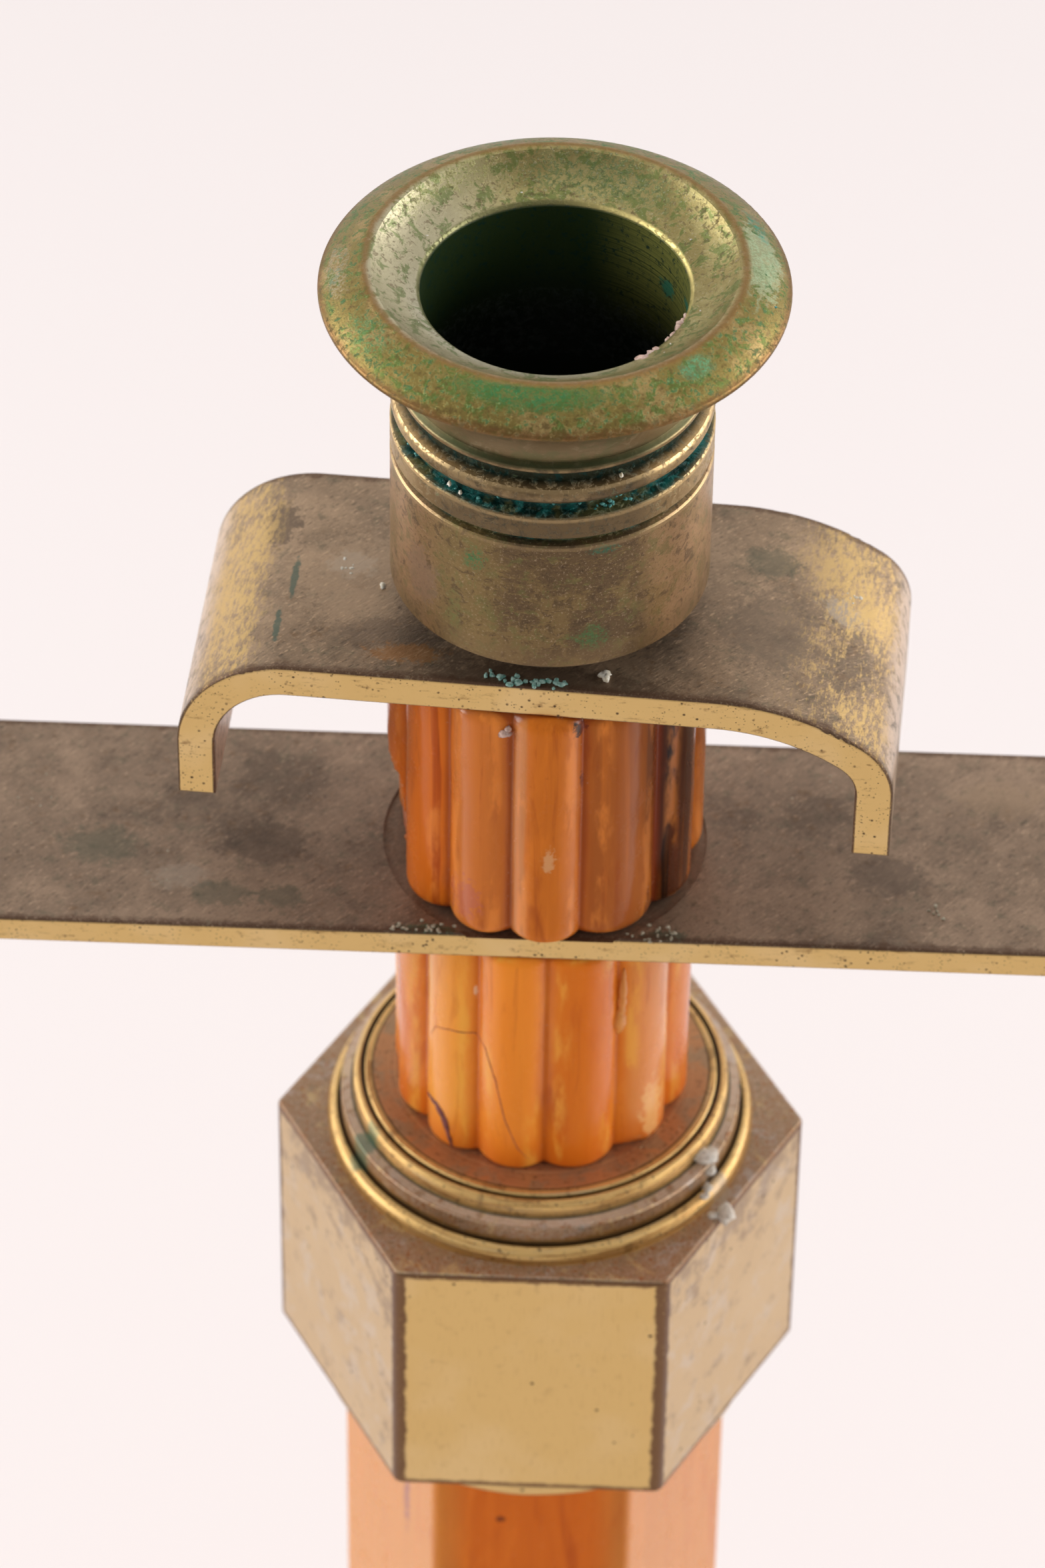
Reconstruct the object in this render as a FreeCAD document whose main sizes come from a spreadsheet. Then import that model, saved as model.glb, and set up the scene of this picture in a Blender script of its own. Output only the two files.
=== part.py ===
import FreeCAD, Part
import math
import os

import Sketcher

# Three-light table candelabrum of brass and cast resin, in millimetres, +Z up.
# The origin is on the table under the middle of the base, and +X runs along the cross bar.
# One long tie rod clamps the whole stack: base, hexagonal column, collar, two fluted
# beads, the cross bar between them, the arched strap and the centre candle cup.

DIMENSIONS = {
    # Threads and the gap that lets a part turn on them
    "rod_radius": 4.0,
    "screw_radius": 3.0,
    "running_gap": 0.08,
    "thread_grip": 8.0,
    # Levels of the stack, measured down from the strap's flat top
    "strap_top": 265.0,
    "bar_drop": 29.1,
    "collar_drop": 63.7,
    # Strip stock of the strap and the cross bar
    "strip_width": 25.4,
    "strip_round": 0.35,
    "strap_thick": 3.2,
    "bar_thick": 2.7,
    # Arched strap: an uneven arch, bent tighter on its left than on its right
    "strap_left": 30.3,
    "strap_right": 30.4,
    "strap_left_leg": 15.2,
    "strap_right_leg": 16.2,
    "strap_left_bend": 9.4,
    "strap_slow_bend": 22.0,
    "strap_tight_bend": 6.6,
    "strap_turn": -3.7,
    # Cross bar: the same arch, larger and even
    "bar_reach": 118.0,
    "bar_leg": 27.0,
    "bar_bend": 17.0,
    "recess_radius": 14.2,
    "recess_depth": 0.35,
    "cup_offset": 84.0,
    # Fluted beads
    "upper_bead_radius": 13.8,
    "lower_bead_radius": 13.35,
    "bead_lobe_radius": 4.55,
    "upper_bead_round": 1.4,
    "lower_bead_round": 0.7,
    "upper_bead_turn": -90.3,
    "lower_bead_turn": -70.3,
    # Hexagonal collar, its lip, the foot collar and the column
    "collar_flats": 41.7,
    "collar_height": 28.2,
    "collar_step": 5.65,
    "foot_height": 14.0,
    "hex_round": 1.0,
    "hex_top_round": 0.4,
    "outer_ring_radius": 19.3,
    "step_radius": 18.15,
    "inner_ring_radius": 17.0,
    "plateau_radius": 15.95,
    "lip_radius": 20.0,
    "lip_height": 1.5,
    "column_flats": 31.4,
    "column_round": 1.2,
    "column_turn": 0.9,
    # Candle cup
    "drum_radius": 13.5,
    "drum_height": 13.65,
    "socket_radius": 11.0,
    "cup_floor": 8.6,
    "rim_radius": 19.3,
    "rim_height": 30.2,
    "ridge_radius": 15.5,
    "ridge_height": 32.6,
    "spacer_radius": 9.0,
    "spacer_height": 2.7,
    # Base, its ballast and its felt
    "base_radius": 62.0,
    "base_top": 22.0,
    "base_wall": 3.0,
    "ballast_radius": 48.8,
    "ballast_foot": 2.0,
    "ballast_shoulder": 9.9,
    "ballast_neck_radius": 29.9,
    "nut_pocket_radius": 12.0,
    "nut_pocket_top": 11.0,
    "rod_foot": 2.3,
    "felt_radius": 60.5,
    "felt_height": 1.5,
    "nut_flats": 13.0,
    "nut_height": 6.5,
    "washer_radius": 8.0,
    "washer_height": 1.6,
}

LOBES = 12
COS_30 = math.cos(math.radians(30.0))


class Size:
    """A length together with the spreadsheet expression that gives it."""

    def __init__(self, value, text):
        self.value = float(value)
        self.text = text

    def join(self, other, sign, value):
        other_text = other.text if isinstance(other, Size) else repr(float(other))
        return Size(value, f"({self.text} {sign} {other_text})")

    def __add__(self, other):
        return self.join(other, "+", self.value + number(other))

    def __sub__(self, other):
        return self.join(other, "-", self.value - number(other))

    def __mul__(self, other):
        return self.join(other, "*", self.value * number(other))

    def __truediv__(self, other):
        return self.join(other, "/", self.value / number(other))

    def __radd__(self, other):
        return self + other

    def __rsub__(self, other):
        return -self + other

    def __neg__(self):
        return self * -1.0


def number(size):
    return size.value if isinstance(size, Size) else float(size)


doc = FreeCAD.newDocument("candelabrum")
sheet = doc.addObject("Spreadsheet::Sheet", "Dimensions")
dims = {}
for row, (alias, amount) in enumerate(DIMENSIONS.items(), start=1):
    sheet.set(f"A{row}", alias)
    sheet.set(f"B{row}", str(amount))
    sheet.setAlias(f"B{row}", alias)
    dims[alias] = Size(amount, f"Dimensions.{alias}")
doc.recompute()

subparts = []


# ---- Helpers: each builds one feature and binds its sizes to the sheet ----

def bind(thing, prop, size):
    """Set a property to a size, by expression where the size comes from the sheet."""
    if isinstance(size, Size):
        thing.setExpression(prop, size.text)
    else:
        thing.setExpression(prop, repr(float(size)))


def new_body(label, bottom, along=0.0, turn=0.0, flipped=False):
    """Add an empty body whose own z = 0 stands at height bottom."""
    body = doc.addObject("PartDesign::Body", label)
    body.Label = label
    upside_down = FreeCAD.Rotation(FreeCAD.Vector(1, 0, 0), 180.0 if flipped else 0.0)
    turned = FreeCAD.Rotation(FreeCAD.Vector(0, 0, 1), number(turn))
    place = FreeCAD.Vector(number(along), 0, number(bottom))
    body.Placement = FreeCAD.Placement(place, turned.multiply(upside_down))
    bind(body, "Placement.Base.z", bottom)
    bind(body, "Placement.Base.x", along)
    subparts.append(body)
    return body


def origin_feature(body, role):
    return next(item for item in body.Origin.OriginFeatures if item.Role == role)


def new_sketch(body, role, name):
    sketch = body.newObject("Sketcher::SketchObject", name)
    sketch.AttachmentSupport = (origin_feature(body, role), [""])
    sketch.MapMode = "FlatFace"
    return sketch


def place_point(sketch, curve, end, x, y):
    """Fix one end of a curve at (x, y), each bound to its own expression."""
    for kind, axis, size in (("DistanceX", -2, x), ("DistanceY", -1, y)):
        amount = number(size)
        if abs(amount) < 1e-9:
            sketch.addConstraint(Sketcher.Constraint("PointOnObject", curve, end, axis))
            continue
        ends = (-1, 1, curve, end) if amount > 0 else (curve, end, -1, 1)
        index = sketch.addConstraint(Sketcher.Constraint(kind, *ends, abs(amount)))
        if isinstance(size, Size):
            signed = size if amount > 0 else -size
            sketch.setExpression(f"Constraints[{index}]", signed.text)


def arc_between(start, finish, radius):
    """Arc from start to finish: counter-clockwise for a positive radius, else clockwise."""
    chord = finish - start
    reach = abs(radius)
    height = math.sqrt(max(reach ** 2 - (chord.Length / 2) ** 2, 0.0))
    left = FreeCAD.Vector(-chord.y, chord.x, 0).normalize()
    centre = (start + finish) * 0.5 + left * (height if radius > 0 else -height)
    first, last = (start, finish) if radius > 0 else (finish, start)
    angle_a = math.atan2(first.y - centre.y, first.x - centre.x)
    angle_b = math.atan2(last.y - centre.y, last.x - centre.x)
    if angle_b < angle_a:
        angle_b += 2 * math.pi
    circle = Part.Circle(centre, FreeCAD.Vector(0, 0, 1), reach)
    return Part.ArcOfCircle(circle, angle_a, angle_b)


def draw_outline(sketch, points):
    """Draw a closed outline. A point is (x, y), or (x, y, radius) where an arc leads to it."""
    corners = [FreeCAD.Vector(number(point[0]), number(point[1]), 0) for point in points]
    curves = []
    for place, point in enumerate(points):
        start, finish = corners[place - 1], corners[place]
        if len(point) == 3:
            radius = point[2]
            curve = sketch.addGeometry(arc_between(start, finish, number(radius)))
            index = sketch.addConstraint(
                Sketcher.Constraint("Radius", curve, abs(number(radius))))
            if isinstance(radius, Size):
                signed = radius if number(radius) > 0 else -radius
                sketch.setExpression(f"Constraints[{index}]", signed.text)
            ends = (1, 2) if number(radius) > 0 else (2, 1)
        else:
            curve = sketch.addGeometry(Part.LineSegment(start, finish))
            ends = (1, 2)
        curves.append((curve, ends))
    for place, point in enumerate(points):
        curve, ends = curves[place]
        following, following_ends = curves[(place + 1) % len(points)]
        sketch.addConstraint(
            Sketcher.Constraint("Coincident", curve, ends[1], following, following_ends[0]))
        place_point(sketch, curve, ends[1], point[0], point[1])


def draw_circle(sketch, radius, x=0.0):
    middle = FreeCAD.Vector(number(x), 0, 0)
    curve = sketch.addGeometry(
        Part.Circle(middle, FreeCAD.Vector(0, 0, 1), number(radius)))
    index = sketch.addConstraint(Sketcher.Constraint("Radius", curve, number(radius)))
    bind(sketch, f"Constraints[{index}]", radius)
    place_point(sketch, curve, 3, x, 0.0)


def hexagon(flats):
    corner = flats / (2 * COS_30)
    half = flats / 2
    return ((corner, 0.0), (corner / 2, half), (-corner / 2, half),
            (-corner, 0.0), (-corner / 2, -half), (corner / 2, -half))


def pad(body, sketch, length, midplane=False):
    feature = body.newObject("PartDesign::Pad", "Pad")
    feature.Profile = sketch
    feature.Midplane = midplane
    bind(feature, "Length", length)
    return feature


def revolve(body, sketch):
    feature = body.newObject("PartDesign::Revolution", "Revolution")
    feature.Profile = sketch
    feature.ReferenceAxis = (sketch, ["V_Axis"])
    feature.Angle = 360.0
    return feature


def pocket(body, sketch, depth=None, upward=False):
    """Cut down (or up) from the body's own z = 0, through everything when no depth is given."""
    doc.recompute()
    before = body.Shape.Volume
    feature = body.newObject("PartDesign::Pocket", "Pocket")
    feature.Profile = sketch
    feature.Reversed = upward
    if depth is None:
        feature.Type = "ThroughAll"
    else:
        bind(feature, "Length", depth)
    doc.recompute()
    if body.Shape.Volume >= before - 1.0:
        raise RuntimeError(f"{body.Label}: a pocket cut nothing")
    return feature


def drill_up(body, radius):
    """Drill a hole along the middle of a body, up from its own z = 0."""
    sketch = new_sketch(body, "XY_Plane", "Bore")
    draw_circle(sketch, radius)
    pocket(body, sketch, upward=True)


def fillet(body, base, radius, chosen):
    """Round the edges of a feature for which chosen(edge) holds."""
    doc.recompute()
    names = [f"Edge{place}" for place, edge in enumerate(base.Shape.Edges, start=1)
             if chosen(edge)]
    feature = body.newObject("PartDesign::Fillet", "Fillet")
    feature.Base = (base, names)
    bind(feature, "Radius", radius)
    return feature


def is_upright(edge):
    ends = [vertex.Point for vertex in edge.Vertexes]
    return len(ends) == 2 and math.hypot(ends[0].x - ends[1].x, ends[0].y - ends[1].y) < 1e-6


def turned_piece(label, points, bottom, along=0.0, flipped=False):
    """A round piece: an outline of (radius, height) points turned about its own axis."""
    body = new_body(label, bottom, along, flipped=flipped)
    sketch = new_sketch(body, "XZ_Plane", "Profile")
    draw_outline(sketch, points)
    revolve(body, sketch)
    return body


def ring(label, inner, outer, height, bottom, along=0.0, bevel=0.2):
    """A flat washer with a small bevel round both of its outer edges."""
    return turned_piece(label, (
        (inner, 0.0),
        (outer - bevel, 0.0),
        (outer, bevel),
        (outer, height - bevel),
        (outer - bevel, height),
        (inner, height),
    ), bottom, along)


# ---- Levels and radii that follow from the driving dimensions ----

rod_hole = dims["rod_radius"] + dims["running_gap"]
screw_hole = dims["screw_radius"] + dims["running_gap"]
bar_top = dims["strap_top"] - dims["bar_drop"]
bar_bottom = bar_top - dims["bar_thick"]
collar_hex_top = dims["strap_top"] - dims["collar_drop"]
collar_top = collar_hex_top + dims["collar_step"]
collar_bottom = collar_hex_top - dims["collar_height"]
foot_top = dims["base_top"] + dims["collar_step"] + dims["foot_height"]
column_bottom = foot_top + dims["lip_height"]
column_top = collar_bottom - dims["lip_height"]
centre_cup_bottom = dims["strap_top"] + dims["spacer_height"]
arm_cup_bottom = bar_top + dims["spacer_height"]
ballast_top = dims["base_top"] - dims["base_wall"] * 2
nut_top = dims["nut_pocket_top"] - dims["washer_height"]


# ---- Base: felt, turned shell, ballast, and the nut that tightens the stack ----

def build_felt():
    body = new_body("felt_pad", 0.0)
    sketch = new_sketch(body, "XY_Plane", "Disc")
    draw_circle(sketch, dims["felt_radius"])
    pad(body, sketch, dims["felt_height"])


def build_base_shell():
    """Three round steps, hollow below, with the rod's hole through its thick middle."""
    outer, foot, wall = dims["base_radius"], dims["felt_height"], dims["base_wall"]
    middle, inner, boss = outer - 10.0, outer - 28.0, outer - 41.0
    first, second, third = foot + 6.5, foot + 12.0, foot + 18.0
    top = dims["base_top"]
    round_over, boss_round = 1.5, 0.8
    ballast_gap = 0.2
    hollow, hollow_roof = outer - wall + ballast_gap, first - wall
    neck, neck_shoulder = inner - wall - 0.8, second - wall - 0.3
    turned_piece("base_shell", (
        (hollow, foot),
        (outer - 0.5, foot),
        (outer, foot + 0.5),
        (outer, first - round_over),
        (outer - round_over, first, round_over),
        (middle, first),
        (middle, second - round_over),
        (middle - round_over, second, round_over),
        (inner, second + 1.0),
        (inner, third - round_over),
        (inner - round_over, third, round_over),
        (boss, top - 2.0),
        (boss, top - boss_round),
        (boss - boss_round, top, boss_round),
        (rod_hole, top),
        (rod_hole, ballast_top),
        (neck, ballast_top),
        (neck, neck_shoulder),
        (middle - wall, neck_shoulder),
        (middle - wall, hollow_roof),
        (hollow, hollow_roof),
    ), 0.0)


def build_ballast():
    """Cast disc under the shell, with a pocket below that hides the nut."""
    foot, shoulder, roof = dims["ballast_foot"], dims["ballast_shoulder"], dims["nut_pocket_top"]
    turned_piece("base_ballast", (
        (dims["nut_pocket_radius"], foot),
        (dims["ballast_radius"], foot),
        (dims["ballast_radius"], shoulder),
        (dims["ballast_neck_radius"], shoulder),
        (dims["ballast_neck_radius"], ballast_top),
        (rod_hole, ballast_top),
        (rod_hole, roof),
        (dims["nut_pocket_radius"], roof),
    ), 0.0)


def build_hex_nut(label, flats, height, hole, bottom):
    """A hexagonal nut whose corners are turned off at 30 degrees on both ends."""
    body = new_body(label, bottom)
    sketch = new_sketch(body, "XY_Plane", "Hexagon")
    draw_outline(sketch, hexagon(flats))
    draw_circle(sketch, hole)
    pad(body, sketch, height)
    corner = flats / (2 * COS_30)
    slope = (corner - flats / 2) * math.tan(math.radians(30.0))
    for name, face, inward, outward in (("TopCut", height, -slope, 1.0),
                                        ("BottomCut", 0.0, slope, -1.0)):
        cutter = new_sketch(body, "XZ_Plane", name)
        draw_outline(cutter, (
            (corner, inward + face),
            (corner + 3.0, inward + face),
            (corner + 3.0, face + outward),
            (flats / 2, face + outward),
            (flats / 2, face),
        ))
        feature = body.newObject("PartDesign::Groove", "Groove")
        feature.Profile = cutter
        feature.ReferenceAxis = (cutter, ["V_Axis"])
        feature.Angle = 360.0
        body.Tip = feature
    return body


def build_tie_rod():
    foot, top = dims["rod_foot"], centre_cup_bottom + dims["thread_grip"]
    bevel = 0.8
    turned_piece("tie_rod", (
        (0.0, foot),
        (dims["rod_radius"] - bevel, foot),
        (dims["rod_radius"], foot + bevel),
        (dims["rod_radius"], top - bevel),
        (dims["rod_radius"] - bevel, top),
        (0.0, top),
    ), 0.0)


# ---- Column and its hexagonal collars ----

def build_column():
    body = new_body("column", column_bottom, turn=dims["column_turn"])
    sketch = new_sketch(body, "XY_Plane", "Hexagon")
    draw_outline(sketch, hexagon(dims["column_flats"]))
    prism = pad(body, sketch, column_top - column_bottom)
    fillet(body, prism, dims["column_round"], is_upright)
    drill_up(body, rod_hole)


def build_collar(label, height, bottom, flipped):
    """Hexagonal collar that ends in two turned bead rings and a plateau for its neighbour."""
    body = new_body(label, bottom, flipped=flipped)
    sketch = new_sketch(body, "XY_Plane", "Hexagon")
    draw_outline(sketch, hexagon(dims["collar_flats"]))
    prism = pad(body, sketch, height)
    rounded = fillet(body, prism, dims["hex_round"], is_upright)
    doc.recompute()
    top_rim = rounded.Shape.BoundBox.ZMax
    fillet(body, rounded, dims["hex_top_round"],
           lambda edge: edge.BoundBox.ZMin > top_rim - 1e-6)
    outer, step = dims["outer_ring_radius"], dims["step_radius"]
    inner, plateau = dims["inner_ring_radius"], dims["plateau_radius"]
    root, end = height - 2.0, height + dims["collar_step"]
    steps = new_sketch(body, "XZ_Plane", "Steps")
    draw_outline(steps, (
        (rod_hole, root),
        (outer, root),
        (outer, height + 0.6),
        (outer - 0.8, height + 1.6, 1.0),
        (step + 0.15, height + 1.2),
        (step, height + 1.2),
        (step, end - 2.25),
        (step - 0.2, end - 2.05, 0.2),
        (inner, end - 1.75),
        (inner, end - 0.95),
        (inner - 0.55, end - 0.15, 0.7),
        (plateau + 0.3, end - 0.2),
        (plateau + 0.2, end - 0.5),
        (plateau, end - 0.5),
        (plateau, end - 0.15),
        (plateau - 0.15, end),
        (rod_hole, end),
    ))
    revolve(body, steps)
    drill_up(body, rod_hole)


# ---- Fluted beads ----

def build_bead(name, bottom, top):
    """Round-ended lobes set in a ring round a core, with the rod's hole down the middle."""
    length = top - bottom
    lobe, ends = dims["bead_lobe_radius"], dims[f"{name}_round"]
    middle = dims[f"{name}_radius"] - lobe
    body = new_body(name, bottom, turn=dims[f"{name}_turn"])
    core = new_sketch(body, "XY_Plane", "Core")
    draw_circle(core, middle + lobe / 2)
    draw_circle(core, rod_hole)
    pad(body, core, length)
    profile = new_sketch(body, "XZ_Plane", "Lobe")
    profile.AttachmentOffset = FreeCAD.Placement(
        FreeCAD.Vector(middle.value, 0, 0), FreeCAD.Rotation())
    bind(profile, "AttachmentOffset.Base.x", middle)
    draw_outline(profile, (
        (0.0, 0.0),
        (lobe - ends, 0.0),
        (lobe, ends, ends),
        (lobe, length - ends),
        (lobe - ends, length, ends),
        (0.0, length),
    ))
    first = revolve(body, profile)
    pattern = body.newObject("PartDesign::PolarPattern", "Lobes")
    pattern.Originals = [first]
    pattern.Axis = (origin_feature(body, "Z_Axis"), [""])
    pattern.Angle = 360.0
    pattern.Occurrences = LOBES
    body.Tip = pattern


# ---- Bent strip pieces ----

def bent_strip(label, points, holes, bottom, turn=0.0):
    """Sweep a bent strip's side outline across its width, round its edges and drill it."""
    body = new_body(label, bottom, turn=turn)
    side = new_sketch(body, "XZ_Plane", "Side")
    draw_outline(side, points)
    blank = pad(body, side, dims["strip_width"], midplane=True)
    half = dims["strip_width"].value / 2
    fillet(body, blank, dims["strip_round"],
           lambda edge: edge.BoundBox.YMax - edge.BoundBox.YMin < 1e-6
           and abs(abs(edge.BoundBox.YMax) - half) < 1e-6)
    for place, (radius, across, depth) in enumerate(holes):
        cutter = new_sketch(body, "XY_Plane", f"Hole{place}")
        draw_circle(cutter, radius, across)
        pocket(body, cutter, depth)
    return body


def build_strap():
    """Arched strap: a plain bend on its left, a slow bend running into a tight one on its right."""
    thick = dims["strap_thick"]
    left, right = -dims["strap_left"], dims["strap_right"]
    bend, slow, tight = dims["strap_left_bend"], dims["strap_slow_bend"], dims["strap_tight_bend"]
    handover = math.radians(35.0)
    sine, cosine = math.sin(handover), math.cos(handover)
    knee_x = right - tight * (1 - sine)
    knee_z = slow * (cosine - 1)
    flat_end = knee_x - slow * sine
    leg_start = knee_z - tight * cosine
    left_leg, right_leg = -dims["strap_left_leg"], -dims["strap_right_leg"]
    inner_knee_x = knee_x - thick * sine
    inner_knee_z = knee_z - thick * cosine
    bent_strip("top_strap", (
        (left, left_leg),
        (left + thick, left_leg),
        (left + thick, -bend),
        (left + bend, -thick, -(bend - thick)),
        (flat_end, -thick),
        (inner_knee_x, inner_knee_z, -(slow - thick)),
        (right - thick, leg_start, -(tight - thick)),
        (right - thick, right_leg),
        (right, right_leg),
        (right, leg_start),
        (knee_x, knee_z, tight),
        (flat_end, 0.0, slow),
        (left + bend, 0.0),
        (left, -bend, bend),
    ), ((rod_hole, 0.0, None),), dims["strap_top"], dims["strap_turn"])


def build_cross_bar():
    """Cross bar with turned-down ends and a shallow round seat for the upper bead."""
    thick, reach, bend = dims["bar_thick"], dims["bar_reach"], dims["bar_bend"]
    leg = -dims["bar_leg"]
    bent_strip("cross_bar", (
        (-reach, leg),
        (thick - reach, leg),
        (thick - reach, -bend),
        (bend - reach, -thick, -(bend - thick)),
        (reach - bend, -thick),
        (reach - thick, -bend, -(bend - thick)),
        (reach - thick, leg),
        (reach, leg),
        (reach, -bend),
        (reach - bend, 0.0, bend),
        (bend - reach, 0.0),
        (-reach, -bend, bend),
    ), (
        (dims["recess_radius"], 0.0, dims["recess_depth"]),
        (rod_hole, 0.0, None),
        (screw_hole, -dims["cup_offset"], None),
        (screw_hole, dims["cup_offset"], None),
    ), bar_top)


# ---- Candle cups and what holds them ----

def build_cup(label, hole, bottom, along=0.0):
    """Turned candle cup: plain drum, three grooves, coved neck and a dished drip flange."""
    drum, height = dims["drum_radius"], dims["drum_height"]
    rim, rim_level = dims["rim_radius"], dims["rim_height"]
    ridge, ridge_level = dims["ridge_radius"], dims["ridge_height"]
    socket = dims["socket_radius"]
    turned_piece(label, (
        (hole, 0.0),
        (drum - 0.5, 0.0),
        (drum, 0.5),
        (drum, height - 0.15),
        (drum - 0.15, height),
        (drum - 0.65, height + 0.2),
        (drum - 0.65, height + 0.6),
        (drum - 0.15, height + 0.8),
        (drum, height + 0.95),
        (drum, height + 2.9),
        (drum - 0.15, height + 3.05),
        (drum - 1.0, height + 3.3),
        (drum - 1.0, height + 4.2),
        (drum - 0.3, height + 4.5),
        (drum - 0.3, height + 5.9, 1.1),
        (drum - 1.1, height + 6.2),
        (drum - 1.1, height + 7.2),
        (drum - 0.6, height + 7.4),
        (drum - 0.6, height + 7.9, 0.4),
        (drum - 1.0, height + 8.2),
        (rim - 0.9, rim_level - 1.0, -9.5),
        (rim, rim_level - 0.3),
        (rim - 0.15, rim_level + 0.2, 0.4),
        (ridge + 0.5, ridge_level - 0.1, 11.0),
        (ridge - 0.5, ridge_level - 0.1, 0.9),
        (socket + 0.6, rim_level, -9.0),
        (socket, rim_level - 0.6, 0.8),
        (socket, dims["cup_floor"]),
        (hole, dims["cup_floor"]),
    ), bottom, along)


def build_arm(side, direction):
    """Spacer, cup, washer and screw on one end of the cross bar."""
    along = dims["cup_offset"] * direction
    washer, washer_radius = 1.0, 6.5
    ring(f"{side}_cup_spacer", screw_hole, dims["spacer_radius"], dims["spacer_height"],
         bar_top, along)
    build_cup(f"{side}_candle_cup", screw_hole, arm_cup_bottom, along)
    washer_bottom = bar_bottom - washer
    ring(f"{side}_screw_washer", screw_hole, washer_radius, washer, washer_bottom, along)
    arm_thread_grip = dims["thread_grip"] - 1.0
    grip = dims["spacer_height"] + dims["bar_thick"] + washer + arm_thread_grip
    shank, tip_bevel = dims["screw_radius"], 0.5
    head, head_radius, head_round = 3.6, 5.5, 1.4
    slot_depth, slot_half = 1.2, 0.6
    body = new_body(f"{side}_cup_screw", washer_bottom, along, flipped=True)
    profile = new_sketch(body, "XZ_Plane", "Profile")
    draw_outline(profile, (
        (0.0, -grip),
        (shank - tip_bevel, -grip),
        (shank, tip_bevel - grip),
        (shank, 0.0),
        (head_radius, 0.0),
        (head_radius, head - head_round),
        (head_radius - head_round, head, head_round),
        (0.0, head),
    ))
    revolve(body, profile)
    slot = new_sketch(body, "XZ_Plane", "Slot")
    draw_outline(slot, (
        (-slot_half, head - slot_depth),
        (slot_half, head - slot_depth),
        (slot_half, head + 1.0),
        (-slot_half, head + 1.0),
    ))
    doc.recompute()
    before = body.Shape.Volume
    cut = body.newObject("PartDesign::Pocket", "Slot")
    cut.Profile = slot
    cut.Type = "ThroughAll"
    cut.Midplane = True
    doc.recompute()
    if body.Shape.Volume >= before:
        raise RuntimeError(f"{body.Label}: the slot cut nothing")


build_felt()
build_base_shell()
build_ballast()
ring("base_washer", rod_hole, dims["washer_radius"], dims["washer_height"], nut_top)
build_hex_nut("base_nut", dims["nut_flats"], dims["nut_height"], rod_hole,
              nut_top - dims["nut_height"])
build_tie_rod()
build_collar("foot_collar", dims["foot_height"], foot_top, True)
ring("foot_lip", rod_hole, dims["lip_radius"], dims["lip_height"], foot_top, bevel=0.4)
build_column()
ring("collar_lip", rod_hole, dims["lip_radius"], dims["lip_height"], column_top, bevel=0.4)
build_collar("hex_collar", dims["collar_height"], collar_bottom, False)
build_bead("lower_bead", collar_top, bar_bottom)
build_cross_bar()
build_bead("upper_bead", bar_top - dims["recess_depth"], dims["strap_top"] - dims["strap_thick"])
build_strap()
ring("centre_cup_spacer", rod_hole, dims["spacer_radius"], dims["spacer_height"],
     dims["strap_top"])
build_cup("centre_candle_cup", rod_hole, centre_cup_bottom)
build_arm("left", -1.0)
build_arm("right", 1.0)

doc.recompute()

for item in doc.Objects:
    if "Invalid" in item.State or "Error" in item.State:
        raise RuntimeError(f"{item.Label} failed: {item.State}")
for body in subparts:
    if body.Shape.isNull() or not body.Shape.isValid() or not body.Shape.Solids:
        raise RuntimeError(f"{body.Label} has no valid solid")

os.makedirs("parts", exist_ok=True)
for body in subparts:
    body.Shape.exportStep(os.path.join("parts", f"{body.Label}.step"))
    print(f"{body.Label}: {len(body.Shape.Solids)} solid, {body.Shape.Volume / 1000:.2f} cm3")
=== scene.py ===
import functools
import math
import random

import bmesh
import bpy
from mathutils import Matrix, Vector, noise


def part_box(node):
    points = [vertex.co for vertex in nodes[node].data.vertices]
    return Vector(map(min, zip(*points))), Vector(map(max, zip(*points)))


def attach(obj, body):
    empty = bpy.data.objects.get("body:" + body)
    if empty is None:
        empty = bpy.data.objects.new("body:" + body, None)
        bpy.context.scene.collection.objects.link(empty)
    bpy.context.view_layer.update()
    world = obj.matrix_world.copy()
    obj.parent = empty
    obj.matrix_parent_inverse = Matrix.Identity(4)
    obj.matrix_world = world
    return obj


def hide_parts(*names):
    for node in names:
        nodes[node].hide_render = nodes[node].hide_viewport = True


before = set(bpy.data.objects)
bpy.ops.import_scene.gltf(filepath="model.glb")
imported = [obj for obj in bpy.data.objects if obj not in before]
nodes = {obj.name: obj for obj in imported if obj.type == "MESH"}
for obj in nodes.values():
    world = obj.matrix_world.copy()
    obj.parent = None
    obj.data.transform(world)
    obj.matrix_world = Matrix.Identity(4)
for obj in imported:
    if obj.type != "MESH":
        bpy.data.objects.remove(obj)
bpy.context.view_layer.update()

MM = 0.001


# -------- places on the object
# Places below are in millimetres; tops, bottoms and centres come from the imported nodes,
# the rest are given as numbers. Azimuths are degrees from the front (-Y), growing to the right.

@functools.lru_cache(maxsize=None)
def corners(node):
    return [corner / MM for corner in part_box(node)]


def low(node):
    return corners(node)[0]


def high(node):
    return corners(node)[1]


def middle(node):
    return (low(node) + high(node)) / 2


def around(azimuth, radius, z, centre=(0.0, 0.0)):
    """The point at an azimuth and a radius round an upright axis."""
    turn = math.radians(azimuth)
    return Vector((centre[0] + radius * math.sin(turn), centre[1] - radius * math.cos(turn), z))


STRAP_TOP = high("top_strap").z
STRAP_TURN = -3.7  # degrees from the bar
BAR_TOP = high("cross_bar").z
STRIP_HALF_WIDTH = high("cross_bar").y
COLUMN_TOP = high("column").z
COLLAR_STEP = 5.65  # how far a collar's turned end stands out from its hexagon
HEX_TOP = high("hex_collar").z - COLLAR_STEP
HEX_BOTTOM = low("hex_collar").z
FOOT_FACE = low("foot_collar").z + COLLAR_STEP
FOOT_TOP = high("foot_collar").z
ROD_HOLE = 4.08  # radius of the hole through a bead

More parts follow.
